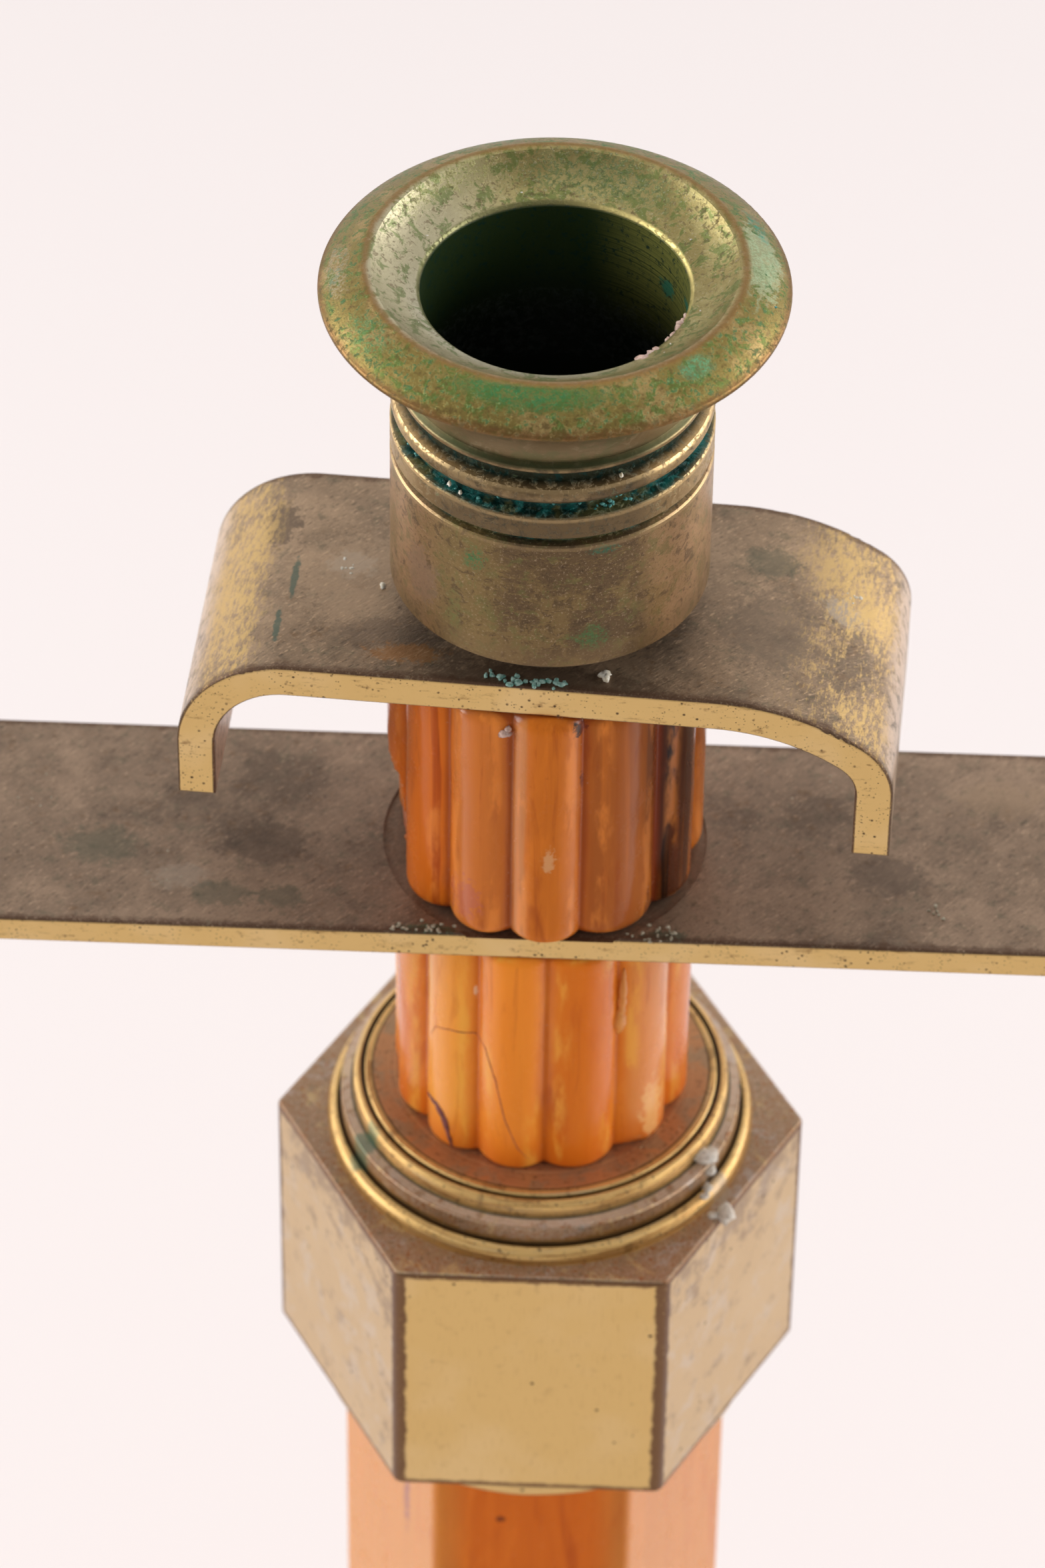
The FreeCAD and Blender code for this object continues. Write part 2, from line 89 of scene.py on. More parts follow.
# Radii of a collar's turned end, from the outer ring inwards.
OUTER_RING = (18.45, 19.35)
OUTER_GROOVE = (18.12, 18.5)
WALL, LEDGE, INNER_RING = 18.22, 18.02, 17.06
RING_GROOVE, THIN_RING, THIN_GROOVE, PLATEAU = 16.42, 16.02, 15.42, 15.22

# Levels of a candle cup above its base, and radii from its axis.
RING_FOOT, NECK_FOOT = 13.85, 21.5
LOWER_GROOVE, MIDDLE_GROOVE, UPPER_GROOVE = (13.85, 14.5), (16.7, 18.1), (19.75, 21.05)
LEDGES = (16.25, 16.6), (19.25, 19.6)
SOCKET, RIDGE, FLANGE_EDGE = 11.1, 15.55, 18.95

# Each cup's side, the turn of its stains and painted highlights in degrees, and its first random
# seed.
CUPS = (("centre", 0.0, 5), ("left", 137.0, 15), ("right", -104.0, 25))


# -------- shader building blocks

class Signal:
    """A number that a node gives, with arithmetic that adds more nodes."""

    def __init__(self, shader, socket):
        self.shader = shader
        self.socket = socket

    def __add__(self, other):
        return self.shader.math("ADD", self, other)

    def __sub__(self, other):
        return self.shader.math("SUBTRACT", self, other)

    def __rsub__(self, other):
        return self.shader.math("SUBTRACT", other, self)

    def __mul__(self, other):
        return self.shader.math("MULTIPLY", self, other)

    def __truediv__(self, other):
        return self.shader.math("DIVIDE", self, other)

    __radd__ = __add__
    __rmul__ = __mul__

    def size(self):
        return self.shader.math("ABSOLUTE", self)


class Shader:
    """A tree whose nodes are added by short calls."""

    def __init__(self, tree):
        self.tree = tree
        self.tree.nodes.clear()

    def node(self, kind, **settings):
        made = self.tree.nodes.new(kind)
        for key, value in settings.items():
            setattr(made, key, value)
        return made

    def feed(self, socket, value):
        if isinstance(value, Signal):
            value = value.socket
        if isinstance(value, bpy.types.NodeSocket):
            self.tree.links.new(value, socket)
        elif socket.type == "RGBA":
            socket.default_value = (*value[:3], 1.0)
        else:
            socket.default_value = value

    def split(self, vector):
        parts = self.node("ShaderNodeSeparateXYZ")
        self.feed(parts.inputs[0], vector)
        return [Signal(self, out) for out in parts.outputs]

    def math(self, kind, *values):
        made = self.node("ShaderNodeMath", operation=kind)
        for socket, value in zip(made.inputs, values):
            self.feed(socket, value)
        return Signal(self, made.outputs[0])

    def length(self, x, y):
        return self.math("SQRT", x * x + y * y)

    def vector(self, x, y, z):
        made = self.node("ShaderNodeCombineXYZ")
        for socket, value in zip(made.inputs, (x, y, z)):
            self.feed(socket, value)
        return made.outputs[0]

    def step(self, value, start, end):
        """0 before start, 1 after end, and smooth between. It falls if end is below start."""
        if end < start:
            return 1 - self.step(value, end, start)
        made = self.node("ShaderNodeMapRange", interpolation_type="SMOOTHSTEP")
        for socket, given in zip(made.inputs, (value, start, end)):
            self.feed(socket, given)
        return Signal(self, made.outputs[0])

    def band(self, value, start, end, soft=0.15):
        """1 between start and end, with soft edges."""
        rise = self.step(value, start - soft, start + soft)
        return rise * self.step(value, end + soft, end - soft)

    def mix(self, first, second, share):
        made = self.node("ShaderNodeMix", data_type="RGBA")
        self.feed(made.inputs["Factor"], share)
        self.feed(made.inputs[6], first)
        self.feed(made.inputs[7], second)
        return made.outputs[2]

    def layers(self, base, *coats):
        """Lay coats over a base colour. A coat is (colour, mask), or (colour, signal, start,
        end, strength) where the mask is a step of the signal."""
        for colour, mask, *ramp in coats:
            if ramp:
                start, end, strength = ramp
                mask = self.step(mask, start, end) * strength
            base = self.mix(base, colour, mask)
        return base


class Paint(Shader):
    """A surface material in millimetres. Each function below calls the one it makes s."""

    def __init__(self, name):
        self.material = bpy.data.materials.new(name)
        self.material.use_nodes = True
        super().__init__(self.material.node_tree)
        output = self.node("ShaderNodeOutputMaterial")
        self.surface = self.node("ShaderNodeBsdfPrincipled")
        self.tree.links.new(self.surface.outputs[0], output.inputs[0])
        coordinates = self.node("ShaderNodeTexCoord")
        scaled = self.node("ShaderNodeVectorMath", operation="SCALE")
        self.feed(scaled.inputs[0], coordinates.outputs["Object"])
        scaled.inputs["Scale"].default_value = 1 / MM
        self.place = scaled.outputs[0]
        self.x, self.y, self.z = self.split(self.place)
        self.nx, self.ny, self.nz = self.split(coordinates.outputs["Normal"])

    def noise(self, scale, detail=3.0, rough=0.55, place=None, twist=0.0):
        """Cloud noise from 0 to 1; scale is features per millimetre."""
        made = self.node("ShaderNodeTexNoise")
        self.feed(made.inputs["Vector"], place or self.place)
        for key, value in (("Scale", scale), ("Detail", detail), ("Roughness", rough),
                           ("Distortion", twist)):
            made.inputs[key].default_value = value
        return Signal(self, made.outputs["Fac"])

    def cells(self, scale, place=None):
        """Distance to the nearest of scattered points, in cell sizes."""
        made = self.node("ShaderNodeTexVoronoi")
        self.feed(made.inputs["Vector"], place or self.place)
        made.inputs["Scale"].default_value = scale
        return Signal(self, made.outputs["Distance"])

    def patch(self, across, along, ragged):
        """1 inside a ragged oval; across and along are offsets in half-axes."""
        return self.step(self.length(across, along) + ragged, 1.15, 0.75)

    def edge(self, radius):
        """1 on sharp edges, 0 on open faces."""
        bevel = self.node("ShaderNodeBevel", samples=6)
        bevel.inputs["Radius"].default_value = radius * MM
        geometry = self.node("ShaderNodeNewGeometry")
        dot = self.node("ShaderNodeVectorMath", operation="DOT_PRODUCT")
        self.feed(dot.inputs[0], bevel.outputs[0])
        self.feed(dot.inputs[1], geometry.outputs["Normal"])
        return self.step(1 - Signal(self, dot.outputs["Value"]), 0.01, 0.12)

    def crevice(self, reach):
        """1 deep in corners and gaps, 0 in the open."""
        made = self.node("ShaderNodeAmbientOcclusion", samples=6)
        made.inputs["Distance"].default_value = reach * MM
        return 1 - Signal(self, made.outputs["AO"])

    def bump(self, height, strength=1.0):
        """Height is in millimetres."""
        made = self.node("ShaderNodeBump")
        made.inputs["Distance"].default_value = MM
        made.inputs["Strength"].default_value = strength
        self.feed(made.inputs["Height"], height)
        return made.outputs[0]

    def finish(self, **inputs):
        """Set the surface's own inputs, with underscores for the spaces in their names."""
        for key, value in inputs.items():
            self.feed(self.surface.inputs[key.replace("_", " ")], value)
        return self.material


def coat(node, material):
    """Give a CAD node its material."""
    mesh = nodes[node].data
    mesh.materials.clear()
    mesh.materials.append(material)


def brighter(colour, times, lift=0.0, most=1.0):
    """A colour multiplied and lifted, with no channel above most."""
    return [min(channel * times + lift, most) for channel in colour]


# -------- brass

GOLD = (0.7, 0.475, 0.185)
GOLD_PALE = (0.78, 0.57, 0.29)
DUST_AND_SHEEN_GOLD = (0.5, 0.385, 0.285)
BROWN = (0.235, 0.165, 0.11)
BROWN_DARK = (0.075, 0.045, 0.03)
SOOT = (0.02, 0.014, 0.011)
RUST = (0.17, 0.075, 0.025)
TEAL = (0.012, 0.13, 0.115)
TEAL_DARK = (0.006, 0.035, 0.028)
CYAN = (0.09, 0.34, 0.34)
GREEN = (0.05, 0.13, 0.05)
GREEN_PALE = (0.34, 0.42, 0.25)
LILAC = (0.5, 0.43, 0.38)
RIDGE_BROWN = (0.25, 0.135, 0.04)
BORDER_BROWN = (0.135, 0.062, 0.032)
GROOVE_BROWN = (0.055, 0.032, 0.014)


def strip_brass(name, turn, tone, bend_start, bend_end, spots=()):
    """Rolled strip at a turn from the bar: brown flecked faces in a tone, bends rubbed to gold
    between two slopes, and polished pitted edges. Spots are (along, across, half-length,
    half-width, colour, strength)."""
    s = Paint(name)
    turn = math.radians(turn)
    along = s.x * math.cos(turn) + s.y * math.sin(turn)
    across = s.y * math.cos(turn) - s.x * math.sin(turn)
    facing = s.ny * math.cos(turn) - s.nx * math.sin(turn)
    slope = s.nx * math.cos(turn) + s.ny * math.sin(turn)
    drift = s.vector(along + 11.0 * tone[0], across, s.z)
    cloud = s.noise(0.1, 5.0, 0.65, drift)
    mottle = s.noise(0.7, 5.0, 0.7, drift)
    speck = s.noise(5.0, 3.0, 0.7)
    ragged = (s.noise(1.1, 6.0, 0.8, drift) - 0.5) * 3.4

    def streaks(angle, length, width):
        angle = math.radians(angle)
        with_it = along * math.cos(angle) + across * math.sin(angle)
        over_it = across * math.cos(angle) - along * math.sin(angle)
        return s.vector(with_it / length, over_it / width, s.z / length)

    pitted = s.vector(s.x, s.y, s.z * 2.0)
    flecks = s.noise(1.0, 3.0, 0.7, streaks(46.0, 0.75, 0.2))
    fine = s.noise(1.0, 3.0, 0.75, streaks(-10.0, 0.42, 0.16))
    face = s.layers(
        tone,
        (brighter(tone, 1.35), s.step(cloud, 0.48, 0.62)),
        (brighter(tone, 0.66), s.step(cloud, 0.48, 0.36)),
        ((0.17, 0.09, 0.035), s.step(mottle, 0.54, 0.7) * s.step(cloud, 0.56, 0.46) * 0.5),
        ((0.1, 0.095, 0.055), mottle, 0.46, 0.34, 0.4),
        (brighter(tone, 2.5, most=0.8), flecks, 0.56, 0.72, 0.6),
        (SOOT, flecks, 0.44, 0.3, 0.55),
        (brighter(tone, 2.0, most=0.7), fine, 0.57, 0.7, 0.45),
        (SOOT, fine, 0.4, 0.28, 0.35),
    )
    for x, y, width, height, colour, strength in spots:
        here = s.patch((along - x) / width, (across - y) / height, ragged)
        face = s.mix(face, colour, here * s.step(s.nz, 0.2, 0.6) * strength)
    wear = s.noise(1.0, 6.0, 0.85, streaks(84.0, 1.1, 0.35))
    bend = s.band(slope.size(), bend_start, bend_end, 0.16)
    rubbed = bend * s.step(wear + bend * 0.1 + (cloud - 0.5) * 0.5, 0.55, 0.67)
    face = s.mix(face, (0.6, 0.4, 0.15), rubbed * 0.85)
    # Painted sheen: where the mottle allows, the steep outer faces of the bends are painted pale,
    # as a reflection of the side lights.
    outer = s.step(slope.size(), 0.72, 0.95)
    face = s.mix(face, (0.78, 0.6, 0.45), outer * s.step(mottle, 0.36, 0.56) * 0.7)

    side = s.step(facing.size(), 0.8, 0.93)
    pits = s.step(s.cells(1.5), 0.24, 0.12) * s.step(s.noise(0.28, 3.0), 0.5, 0.58)
    scuff = s.noise(0.6, 6.0, 0.8, s.vector(along * 0.5, across, s.z * 2.0))
    pinholes = s.step(s.cells(3.0), 0.24, 0.12) * s.step(s.noise(0.5, 3.0), 0.44, 0.56)
    polished = s.layers(
        GOLD,
        (GOLD_PALE, s.step(s.noise(0.15, 2.0), 0.45, 0.7) * 0.4),
        (RUST, s.step(s.noise(0.4, 5.0, 0.75, pitted), 0.58, 0.7) * 0.6),
        ((0.3, 0.17, 0.06), scuff, 0.56, 0.68, 0.7),
        (BROWN_DARK, pits * 0.9),
        (SOOT, pinholes * 0.85),
    )
    metal = s.mix(face, polished, side)
    corner = s.band(facing.size(), 0.14, 0.9, 0.06)
    rim_start, rim_end = STRIP_HALF_WIDTH - 1.0, STRIP_HALF_WIDTH - 0.4
    rim = s.step(across.size() + (mottle - 0.5) * 1.6, rim_start, rim_end)
    border = s.math("MAXIMUM", corner, rim * (1 - side) * 0.8)
    border = border * s.step(speck + (mottle - 0.5) * 0.6, 0.28, 0.5)
    metal = s.mix(metal, (0.085, 0.04, 0.02), border * 0.85)

    smooth = side * 0.6 + rubbed * 0.4 + outer * 0.3
    roughness = (0.48 - 0.2 * smooth) + (mottle - 0.5) * 0.15 + pits * side * 0.3
    relief = (flecks * 0.05 + speck * 0.02) * (1 - smooth) - pits * side * 0.06
    relief = relief + wear * rubbed * 0.03
    return s.finish(Base_Color=metal, Metallic=0.6 + smooth * 0.4, Roughness=roughness,
                    Coat_Weight=outer * 0.35, Coat_Roughness=0.25,
                    Normal=s.bump(relief, 0.9))


def cup_brass(name, cup, turn):
    """Turned cup: brown drum with a painted sheen at its sides, teal in the grooves, a green drip
    flange and a dark socket, painted near black as shade deep down. turn carries the patches
    and the painted highlights round the cup, so that no two cups are alike."""
    s = Paint(name)
    centre, bottom = middle(cup), low(cup).z
    x, y, rise = s.x - centre.x, s.y - centre.y, s.z - bottom
    radius = s.length(x, y)
    drift = s.vector(s.x + turn, s.y, s.z)
    cloud = s.noise(0.2, 5.0, 0.65, drift)
    mottle = s.noise(0.75, 6.0, 0.68, drift, 0.6)
    crumbly = s.noise(1.8, 6.0, 0.75, drift, 0.4)
    speck = s.noise(4.5, 3.0, 0.7)
    arc = s.math("ARCTAN2", y, x) * 13.0
    turning = s.noise(1.0, 3.0, 0.6, s.vector(radius * 5.0, radius * 2.0, rise * 6.0))
    ragged = (crumbly - 0.5) * 2.2 + (mottle - 0.5) * 2.2

    def spot(azimuth, level, width, height, measure):
        """A ragged patch round an azimuth, at a rise or a radius."""
        angle = math.radians(azimuth + turn)
        beside = x * math.cos(angle) + y * math.sin(angle)
        ahead = x * math.sin(angle) - y * math.cos(angle)
        here = s.patch(beside / width, (measure - level) / height, ragged)
        return here * s.step(ahead, 0.0, 2.0)

    def side(azimuth, start, end):
        """0 away from an azimuth and 1 towards it."""
        angle = math.radians(azimuth + turn)
        ahead = (x * math.sin(angle) - y * math.cos(angle)) / radius
        return s.step(ahead, start, end)

    # Painted sheen: the drum, its rings and neck are painted paler towards the cup's left and right
    # sides, as reflections of the side lights.
    painted_sheen = s.math("MAXIMUM", side(-72, 0.8, 0.98), side(68, 0.8, 0.98))
    broken = s.step(crumbly + (speck - 0.5) * 0.8, 0.42, 0.58)
    rubs = s.noise(1.0, 4.0, 0.75, s.vector(arc * 0.9, radius, rise * 5.0))
    drum = s.layers(
        (0.125, 0.08, 0.038),
        # Painted reflections: paler gold bands left and right of the drum's front, then the painted
        # sheen at its sides.
        ((0.25, 0.175, 0.06), side(-34, 0.93, 0.99) * 0.6),
        ((0.27, 0.19, 0.07), side(55, 0.92, 0.99) * 0.5),
        ((0.44, 0.27, 0.145), painted_sheen * 0.8),
        ((0.23, 0.155, 0.06), cloud, 0.5, 0.6, 0.6),
        ((0.24, 0.17, 0.06), rubs, 0.55, 0.66, 0.6),
        ((0.06, 0.04, 0.022), rubs, 0.42, 0.32, 0.6),
        ((0.075, 0.048, 0.026), mottle, 0.53, 0.62, 0.6),
        ((0.14, 0.14, 0.045), mottle, 0.46, 0.38, 0.5),
        ((0.45, 0.34, 0.21), speck, 0.56, 0.7, 0.5),
        (SOOT, speck, 0.42, 0.3, 0.5),
        # Painted glare: a tall pinkish patch on the drum's left front.
        ((0.3, 0.2, 0.14), spot(-51, 6.0, 1.9, 2.8, rise) * 0.55),
        ((0.035, 0.17, 0.06), spot(-26, 10.9, 1.1, 1.2, rise) * broken * 0.8),
        ((0.05, 0.15, 0.05), spot(17, 3.4, 1.7, 1.4, rise) * broken * 0.7),
        ((0.03, 0.12, 0.07), spot(20, 12.9, 1.6, 0.5, rise) * broken * 0.8),
        ((0.15, 0.16, 0.05), spot(-34, 4.5, 0.8, 3.4, rise) * broken * 0.7),
        ((0.2, 0.13, 0.06), s.band(rise, -0.5, 2.6, 0.8) * 0.4),
        (GREEN_PALE, spot(150, 5.0, 2.6, 2.2, rise) * 0.4),
        (TEAL, spot(100, 12.4, 2.2, 0.9, rise) * 0.6),
        # Painted highlight: a pale line round the drum's top shoulder, brightest at the sides.
        ((0.4, 0.28, 0.14), s.band(rise + (mottle - 0.5) * 0.4, 13.15, 13.6, 0.12)
         * (0.25 + painted_sheen * 0.6)),
        # Painted shade along the drum's bottom edge, over the gap to the strap.
        (BROWN_DARK, s.step(rise + (mottle - 0.5), 0.7, 0.1) * 0.8),
    )
    teal = s.layers(
        TEAL_DARK,
        (TEAL, s.step(mottle, 0.46, 0.6)),
        (CYAN, s.step(crumbly, 0.58, 0.7) * side(28, 0.72, 0.95) * 0.8),
        ((0.14, 0.13, 0.045), cloud, 0.5, 0.4, 0.8),
    )
    # The upper groove: dark green patina, painted near black as shade in the cove under the neck.
    green_patina_and_shade = s.layers(
        (0.02, 0.026, 0.012),
        (TEAL_DARK, s.step(mottle, 0.48, 0.6)),
        ((0.07, 0.11, 0.04), crumbly, 0.56, 0.68, 0.7),
    )
    ring = s.layers(
        (0.14, 0.095, 0.045),
        ((0.3, 0.21, 0.1), cloud, 0.5, 0.62, 0.7),
        ((0.44, 0.3, 0.14), painted_sheen * 0.7),
        ((0.06, 0.05, 0.03), mottle, 0.54, 0.66, 0.7),
        ((0.08, 0.15, 0.06), crumbly, 0.58, 0.7, 0.6),
    )
    # Painted highlight: a bright line along each ring's top edge, brightest at the sides.
    ledge_highlight = s.mix((0.3, 0.21, 0.1), (0.6, 0.42, 0.2), painted_sheen)
    neck = s.layers(
        (0.2, 0.14, 0.065),
        ((0.13, 0.13, 0.05), cloud, 0.48, 0.6, 0.6),
        ((0.3, 0.23, 0.13), mottle, 0.54, 0.66, 0.6),
        ((0.36, 0.25, 0.12), painted_sheen * 0.5),
        ((0.08, 0.15, 0.06), crumbly, 0.6, 0.7, 0.5),
        # Painted shade: darker in the cove at the neck's foot, and towards its top under the
        # flange's overhang.
        ((0.03, 0.06, 0.025), rise, 22.3, 21.5, 0.8),
        ((0.05, 0.06, 0.03), rise, 26.5, 29.0, 0.6),
    )
    flange = s.layers(
        (0.22, 0.165, 0.045),
        ((0.34, 0.235, 0.09), cloud, 0.5, 0.6, 0.8),
        ((0.1, 0.155, 0.032), mottle, 0.51, 0.57, 0.85),
        ((0.03, 0.13, 0.04), crumbly, 0.54, 0.6, 0.75),
        ((0.13, 0.085, 0.03), crumbly, 0.45, 0.38, 0.7),
        ((0.28, 0.32, 0.13), s.step(speck, 0.54, 0.68) * s.step(mottle, 0.49, 0.58) * 0.6),
        (SOOT, speck, 0.42, 0.3, 0.35),
        ((0.035, 0.17, 0.05), spot(-6, 16.7, 6.0, 1.0, radius) * (broken * 0.5 + 0.35)),
        ((0.1, 0.3, 0.15), spot(44, 16.9, 1.6, 0.9, radius) * (broken * 0.5 + 0.3)),
        ((0.34, 0.42, 0.25), spot(96, 17.0, 4.6, 1.4, radius) * (broken * 0.4 + 0.5)),
        ((0.05, 0.24, 0.16), spot(112, 17.6, 2.2, 0.7, radius) * broken * 0.7),
        (LILAC, spot(-88, 17.8, 3.4, 0.9, radius) * broken * 0.25),
        ((0.06, 0.19, 0.07), spot(-58, 17.4, 2.6, 1.2, radius) * broken * 0.6),
        ((0.04, 0.2, 0.1), spot(-160, 17.3, 3.4, 0.9, radius) * broken * 0.6),
    )
    dish = s.layers(
        (0.27, 0.215, 0.08),
        ((0.36, 0.31, 0.13), cloud, 0.46, 0.58, 0.6),
        ((0.46, 0.42, 0.29), side(-85, 0.1, 0.9) * 0.75),
        ((0.46, 0.43, 0.32), s.step(radius, 13.0, 11.4) * side(-30, 0.2, 0.9) * 0.8),
        ((0.24, 0.14, 0.055), s.step(radius, 13.4, 15.2) * side(10, 0.2, 0.9) * 0.7),
        ((0.1, 0.15, 0.035), mottle, 0.51, 0.58, 0.7),
        ((0.12, 0.08, 0.03), crumbly, 0.54, 0.62, 0.6),
        ((0.07, 0.13, 0.04), spot(165, 13.5, 7.0, 1.8, radius) * broken * 0.7),
        ((0.22, 0.23, 0.06), spot(-137, 14.6, 5.5, 1.2, radius) * broken * 0.5),
        ((0.5, 0.45, 0.32), speck, 0.56, 0.7, 0.4),
        (SOOT, speck, 0.4, 0.28, 0.4),
    )
    # Painted highlight on the socket's wall towards the back right.
    painted_bore_shine = side(112, 0.55, 0.95)
    bore = s.layers(
        (0.024, 0.045, 0.013),
        ((0.26, 0.26, 0.065), painted_bore_shine * s.step(turning, 0.3, 0.6)),
        (TEAL_DARK, crumbly, 0.54, 0.62, 0.9),
        ((0.02, 0.2, 0.13), spot(100, 26.6, 1.2, 0.8, rise) * 0.9),
        ((0.02, 0.2, 0.13), spot(124, 25.2, 1.1, 0.9, rise) * 0.8),
        # Painted shade: the socket turns near black deeper down.
        ((0.004, 0.007, 0.003), s.step(rise, 26.5, 17.0)),
    )
    inner = s.step(radius, SOCKET, SOCKET - 0.1) * s.step(rise, 8.0, 8.5)
    # Painted highlight: the socket's rounded mouth is painted bright gold towards the back right.
    lip = s.mix((0.16, 0.16, 0.06), (0.75, 0.62, 0.24), side(120, 0.4, 0.95))
    metal = s.layers(
        drum,
        (ring, s.step(rise, RING_FOOT - 0.1, RING_FOOT + 0.1)),
        *((ledge_highlight, s.band(rise, *levels, 0.12)) for levels in LEDGES),
        (teal, s.band(rise, *LOWER_GROOVE, 0.12)),
        (teal, s.band(rise, *MIDDLE_GROOVE, 0.14)),
        (green_patina_and_shade, s.band(rise, *UPPER_GROOVE, 0.15)),
        (neck, s.step(rise, NECK_FOOT - 0.2, NECK_FOOT + 0.2)),
        (flange, s.step(rise, 29.5, 29.9) * s.step(radius, RIDGE - 0.2, RIDGE + 0.2)),
        (dish, s.step(rise, 29.0, 29.4) * s.step(radius, RIDGE + 0.2, RIDGE - 0.2)),
        (RIDGE_BROWN, s.band(radius + (mottle - 0.5) * 0.7, RIDGE - 0.3, RIDGE + 0.3, 0.25)
         * s.step(rise, 31, 32) * 0.75),
        (RUST, s.step(radius + (mottle - 0.5) * 1.2, FLANGE_EDGE - 0.25, FLANGE_EDGE + 0.25) * 0.7),
        (lip, s.band(radius, SOCKET - 0.08, SOCKET + 0.22, 0.1) * s.step(rise, 28.6, 29.0) * 0.8),
        (bore, inner),
    )
    grooves = s.band(rise, LOWER_GROOVE[0], UPPER_GROOVE[1], 0.2)
    powdery = s.math("MAXIMUM", grooves * s.step(crumbly, 0.5, 0.64),
                     s.step(rise, 29.5, 29.9) * s.step(crumbly, 0.5, 0.65) * 0.5)
    relief = mottle * 0.03 + speck * 0.015 + turning * 0.012 + powdery * crumbly * 0.08
    return s.finish(Base_Color=metal, Metallic=0.8 - powdery * 0.5 - inner * 0.55,
                    Roughness=0.38 + powdery * 0.25 + (mottle - 0.5) * 0.25,
                    Normal=s.bump(relief, 0.8))


def collar_brass(name, face, direction, bottom, seed, spots=()):
    """Hexagonal collar: matt gold flats with brown edges, and a stepped, turned end. face is
    the level where the steps start, direction is 1 when they go up and -1 when they go down,
    bottom is the hexagon's lower edge, and spots are (x, y, radius, colour, strength)."""
    s = Paint(name)
    radius = s.length(s.x, s.y)
    out = (s.z - face) * direction
    drift = s.vector(s.x + seed, s.y - seed, s.z)
    cloud = s.noise(0.1, 3.0, 0.5, drift)
    mottle = s.noise(0.8, 4.0, 0.6, drift)
    crumbly = s.noise(2.2, 5.0, 0.7, drift)
    grain = s.noise(5.0, 3.0, 0.6)
    grime = s.noise(0.35, 6.0, 0.75, drift)
    stain = s.noise(0.28, 5.0, 0.7, drift, 0.5)
    arc = s.math("ARCTAN2", s.y, s.x) * 3.0
    lathe = s.noise(1.0, 4.0, 0.7, s.vector(radius * 4.0, arc * 0.7, s.z * 4.0))
    scrape = s.noise(1.0, 2.0, 0.5, s.vector(s.x * 6.0, s.y * 6.0, s.z * 0.5))
    rings = s.noise(1.0, 3.0, 0.6, s.vector(radius * 3.0, radius, 0.0))
    pitted = s.noise(0.2, 2.0, 0.5, drift)
    pits = s.step(s.cells(0.55, drift), 0.13, 0.07) * s.step(pitted, 0.5, 0.6)
    sideways = s.step(s.nx.size(), 0.4, 0.8)
    high_grime = grime + s.step(out, -10.0, 0.0) * 0.12
    flat = s.layers(
        GOLD,
        (GOLD_PALE, cloud, 0.45, 0.7, 0.5),
        ((0.5, 0.31, 0.12), mottle, 0.58, 0.75, 0.4),
        ((0.52, 0.32, 0.12), scrape, 0.56, 0.72, 0.35),
        # The side flats are painted paler, partly dust and partly painted sheen from the side
        # lights; so is the pale mottle on them.
        (DUST_AND_SHEEN_GOLD, s.step(s.nx.size() + (mottle - 0.5) * 0.6, 0.35, 0.85) * 0.5),
        ((0.62, 0.53, 0.44), sideways * s.step(stain, 0.5, 0.64) * 0.5),
        ((0.26, 0.17, 0.11), sideways * s.step(high_grime, 0.54, 0.66) * 0.6),
        (BROWN_DARK, pits * 0.9),
    )
    dusty = s.layers(
        (0.4, 0.26, 0.155),
        ((0.62, 0.45, 0.22), stain, 0.54, 0.64, 0.75),
        ((0.5, 0.44, 0.4), stain, 0.46, 0.36, 0.6),
        ((0.66, 0.55, 0.46), grain, 0.54, 0.66, 0.55),
        ((0.34, 0.13, 0.04), crumbly, 0.54, 0.62, 0.85),
        ((0.07, 0.065, 0.035), crumbly, 0.43, 0.34, 0.7),
        ((0.06, 0.1, 0.055), grime, 0.6, 0.7, 0.5),
    )
    powdered = s.mix(dusty, (0.66, 0.5, 0.38), s.step(mottle, 0.35, 0.5) * 0.6)
    turned = s.layers(
        (0.72, 0.47, 0.17),
        ((0.36, 0.17, 0.05), lathe, 0.5, 0.62, 0.85),
        ((0.5, 0.4, 0.26), lathe, 0.44, 0.34, 0.6),
        (BROWN_DARK, crumbly, 0.58, 0.66, 0.85),
        ((0.1, 0.055, 0.025), stain, 0.56, 0.64, 0.45),
    )
    wall = s.layers(
        (0.44, 0.24, 0.08),
        ((0.17, 0.12, 0.05), lathe, 0.5, 0.62, 0.7),
        (dusty, s.step(out + (mottle - 0.5), 1.9, 2.5)),
        (SOOT, crumbly, 0.6, 0.7, 0.5),
    )
    plateau = s.layers(
        (0.5, 0.26, 0.115),
        ((0.36, 0.26, 0.15), stain, 0.48, 0.58, 0.8),
        ((0.66, 0.44, 0.22), rings, 0.52, 0.64, 0.6),
        ((0.16, 0.085, 0.04), crumbly, 0.54, 0.66, 0.7),
        (SOOT, grain, 0.4, 0.28, 0.4),
    )

    def within(edge, soft=0.1):
        return s.step(radius, edge, edge - soft)

    top = s.layers(
        dusty,
        (turned, s.band(radius + (mottle - 0.5) * 0.1, *OUTER_RING, 0.08)),
        (GROOVE_BROWN, s.band(radius, *OUTER_GROOVE, 0.06)),
        (wall, within(WALL) * s.step(out, 0.9, 1.2)),
        (powdered, within(LEDGE) * s.step(out, 3.3, 3.5)),
        ((0.06, 0.055, 0.025), s.band(radius, INNER_RING - 0.06, INNER_RING + 0.19, 0.06) * 0.9),
        (turned, within(INNER_RING, 0.08)),
        (GROOVE_BROWN, within(RING_GROOVE)),
        (turned, within(THIN_RING, 0.08)),
        (GROOVE_BROWN, within(THIN_GROOVE, 0.08) * 0.8),
        (plateau, within(PLATEAU)),
    )
    end = s.step(s.nz * direction, 0.35, 0.7)
    inside = within(OUTER_RING[1] + 0.1) * s.step(out, -0.1, 0.1)
    metal = s.mix(flat, dusty, end)
    metal = s.mix(metal, top, inside)

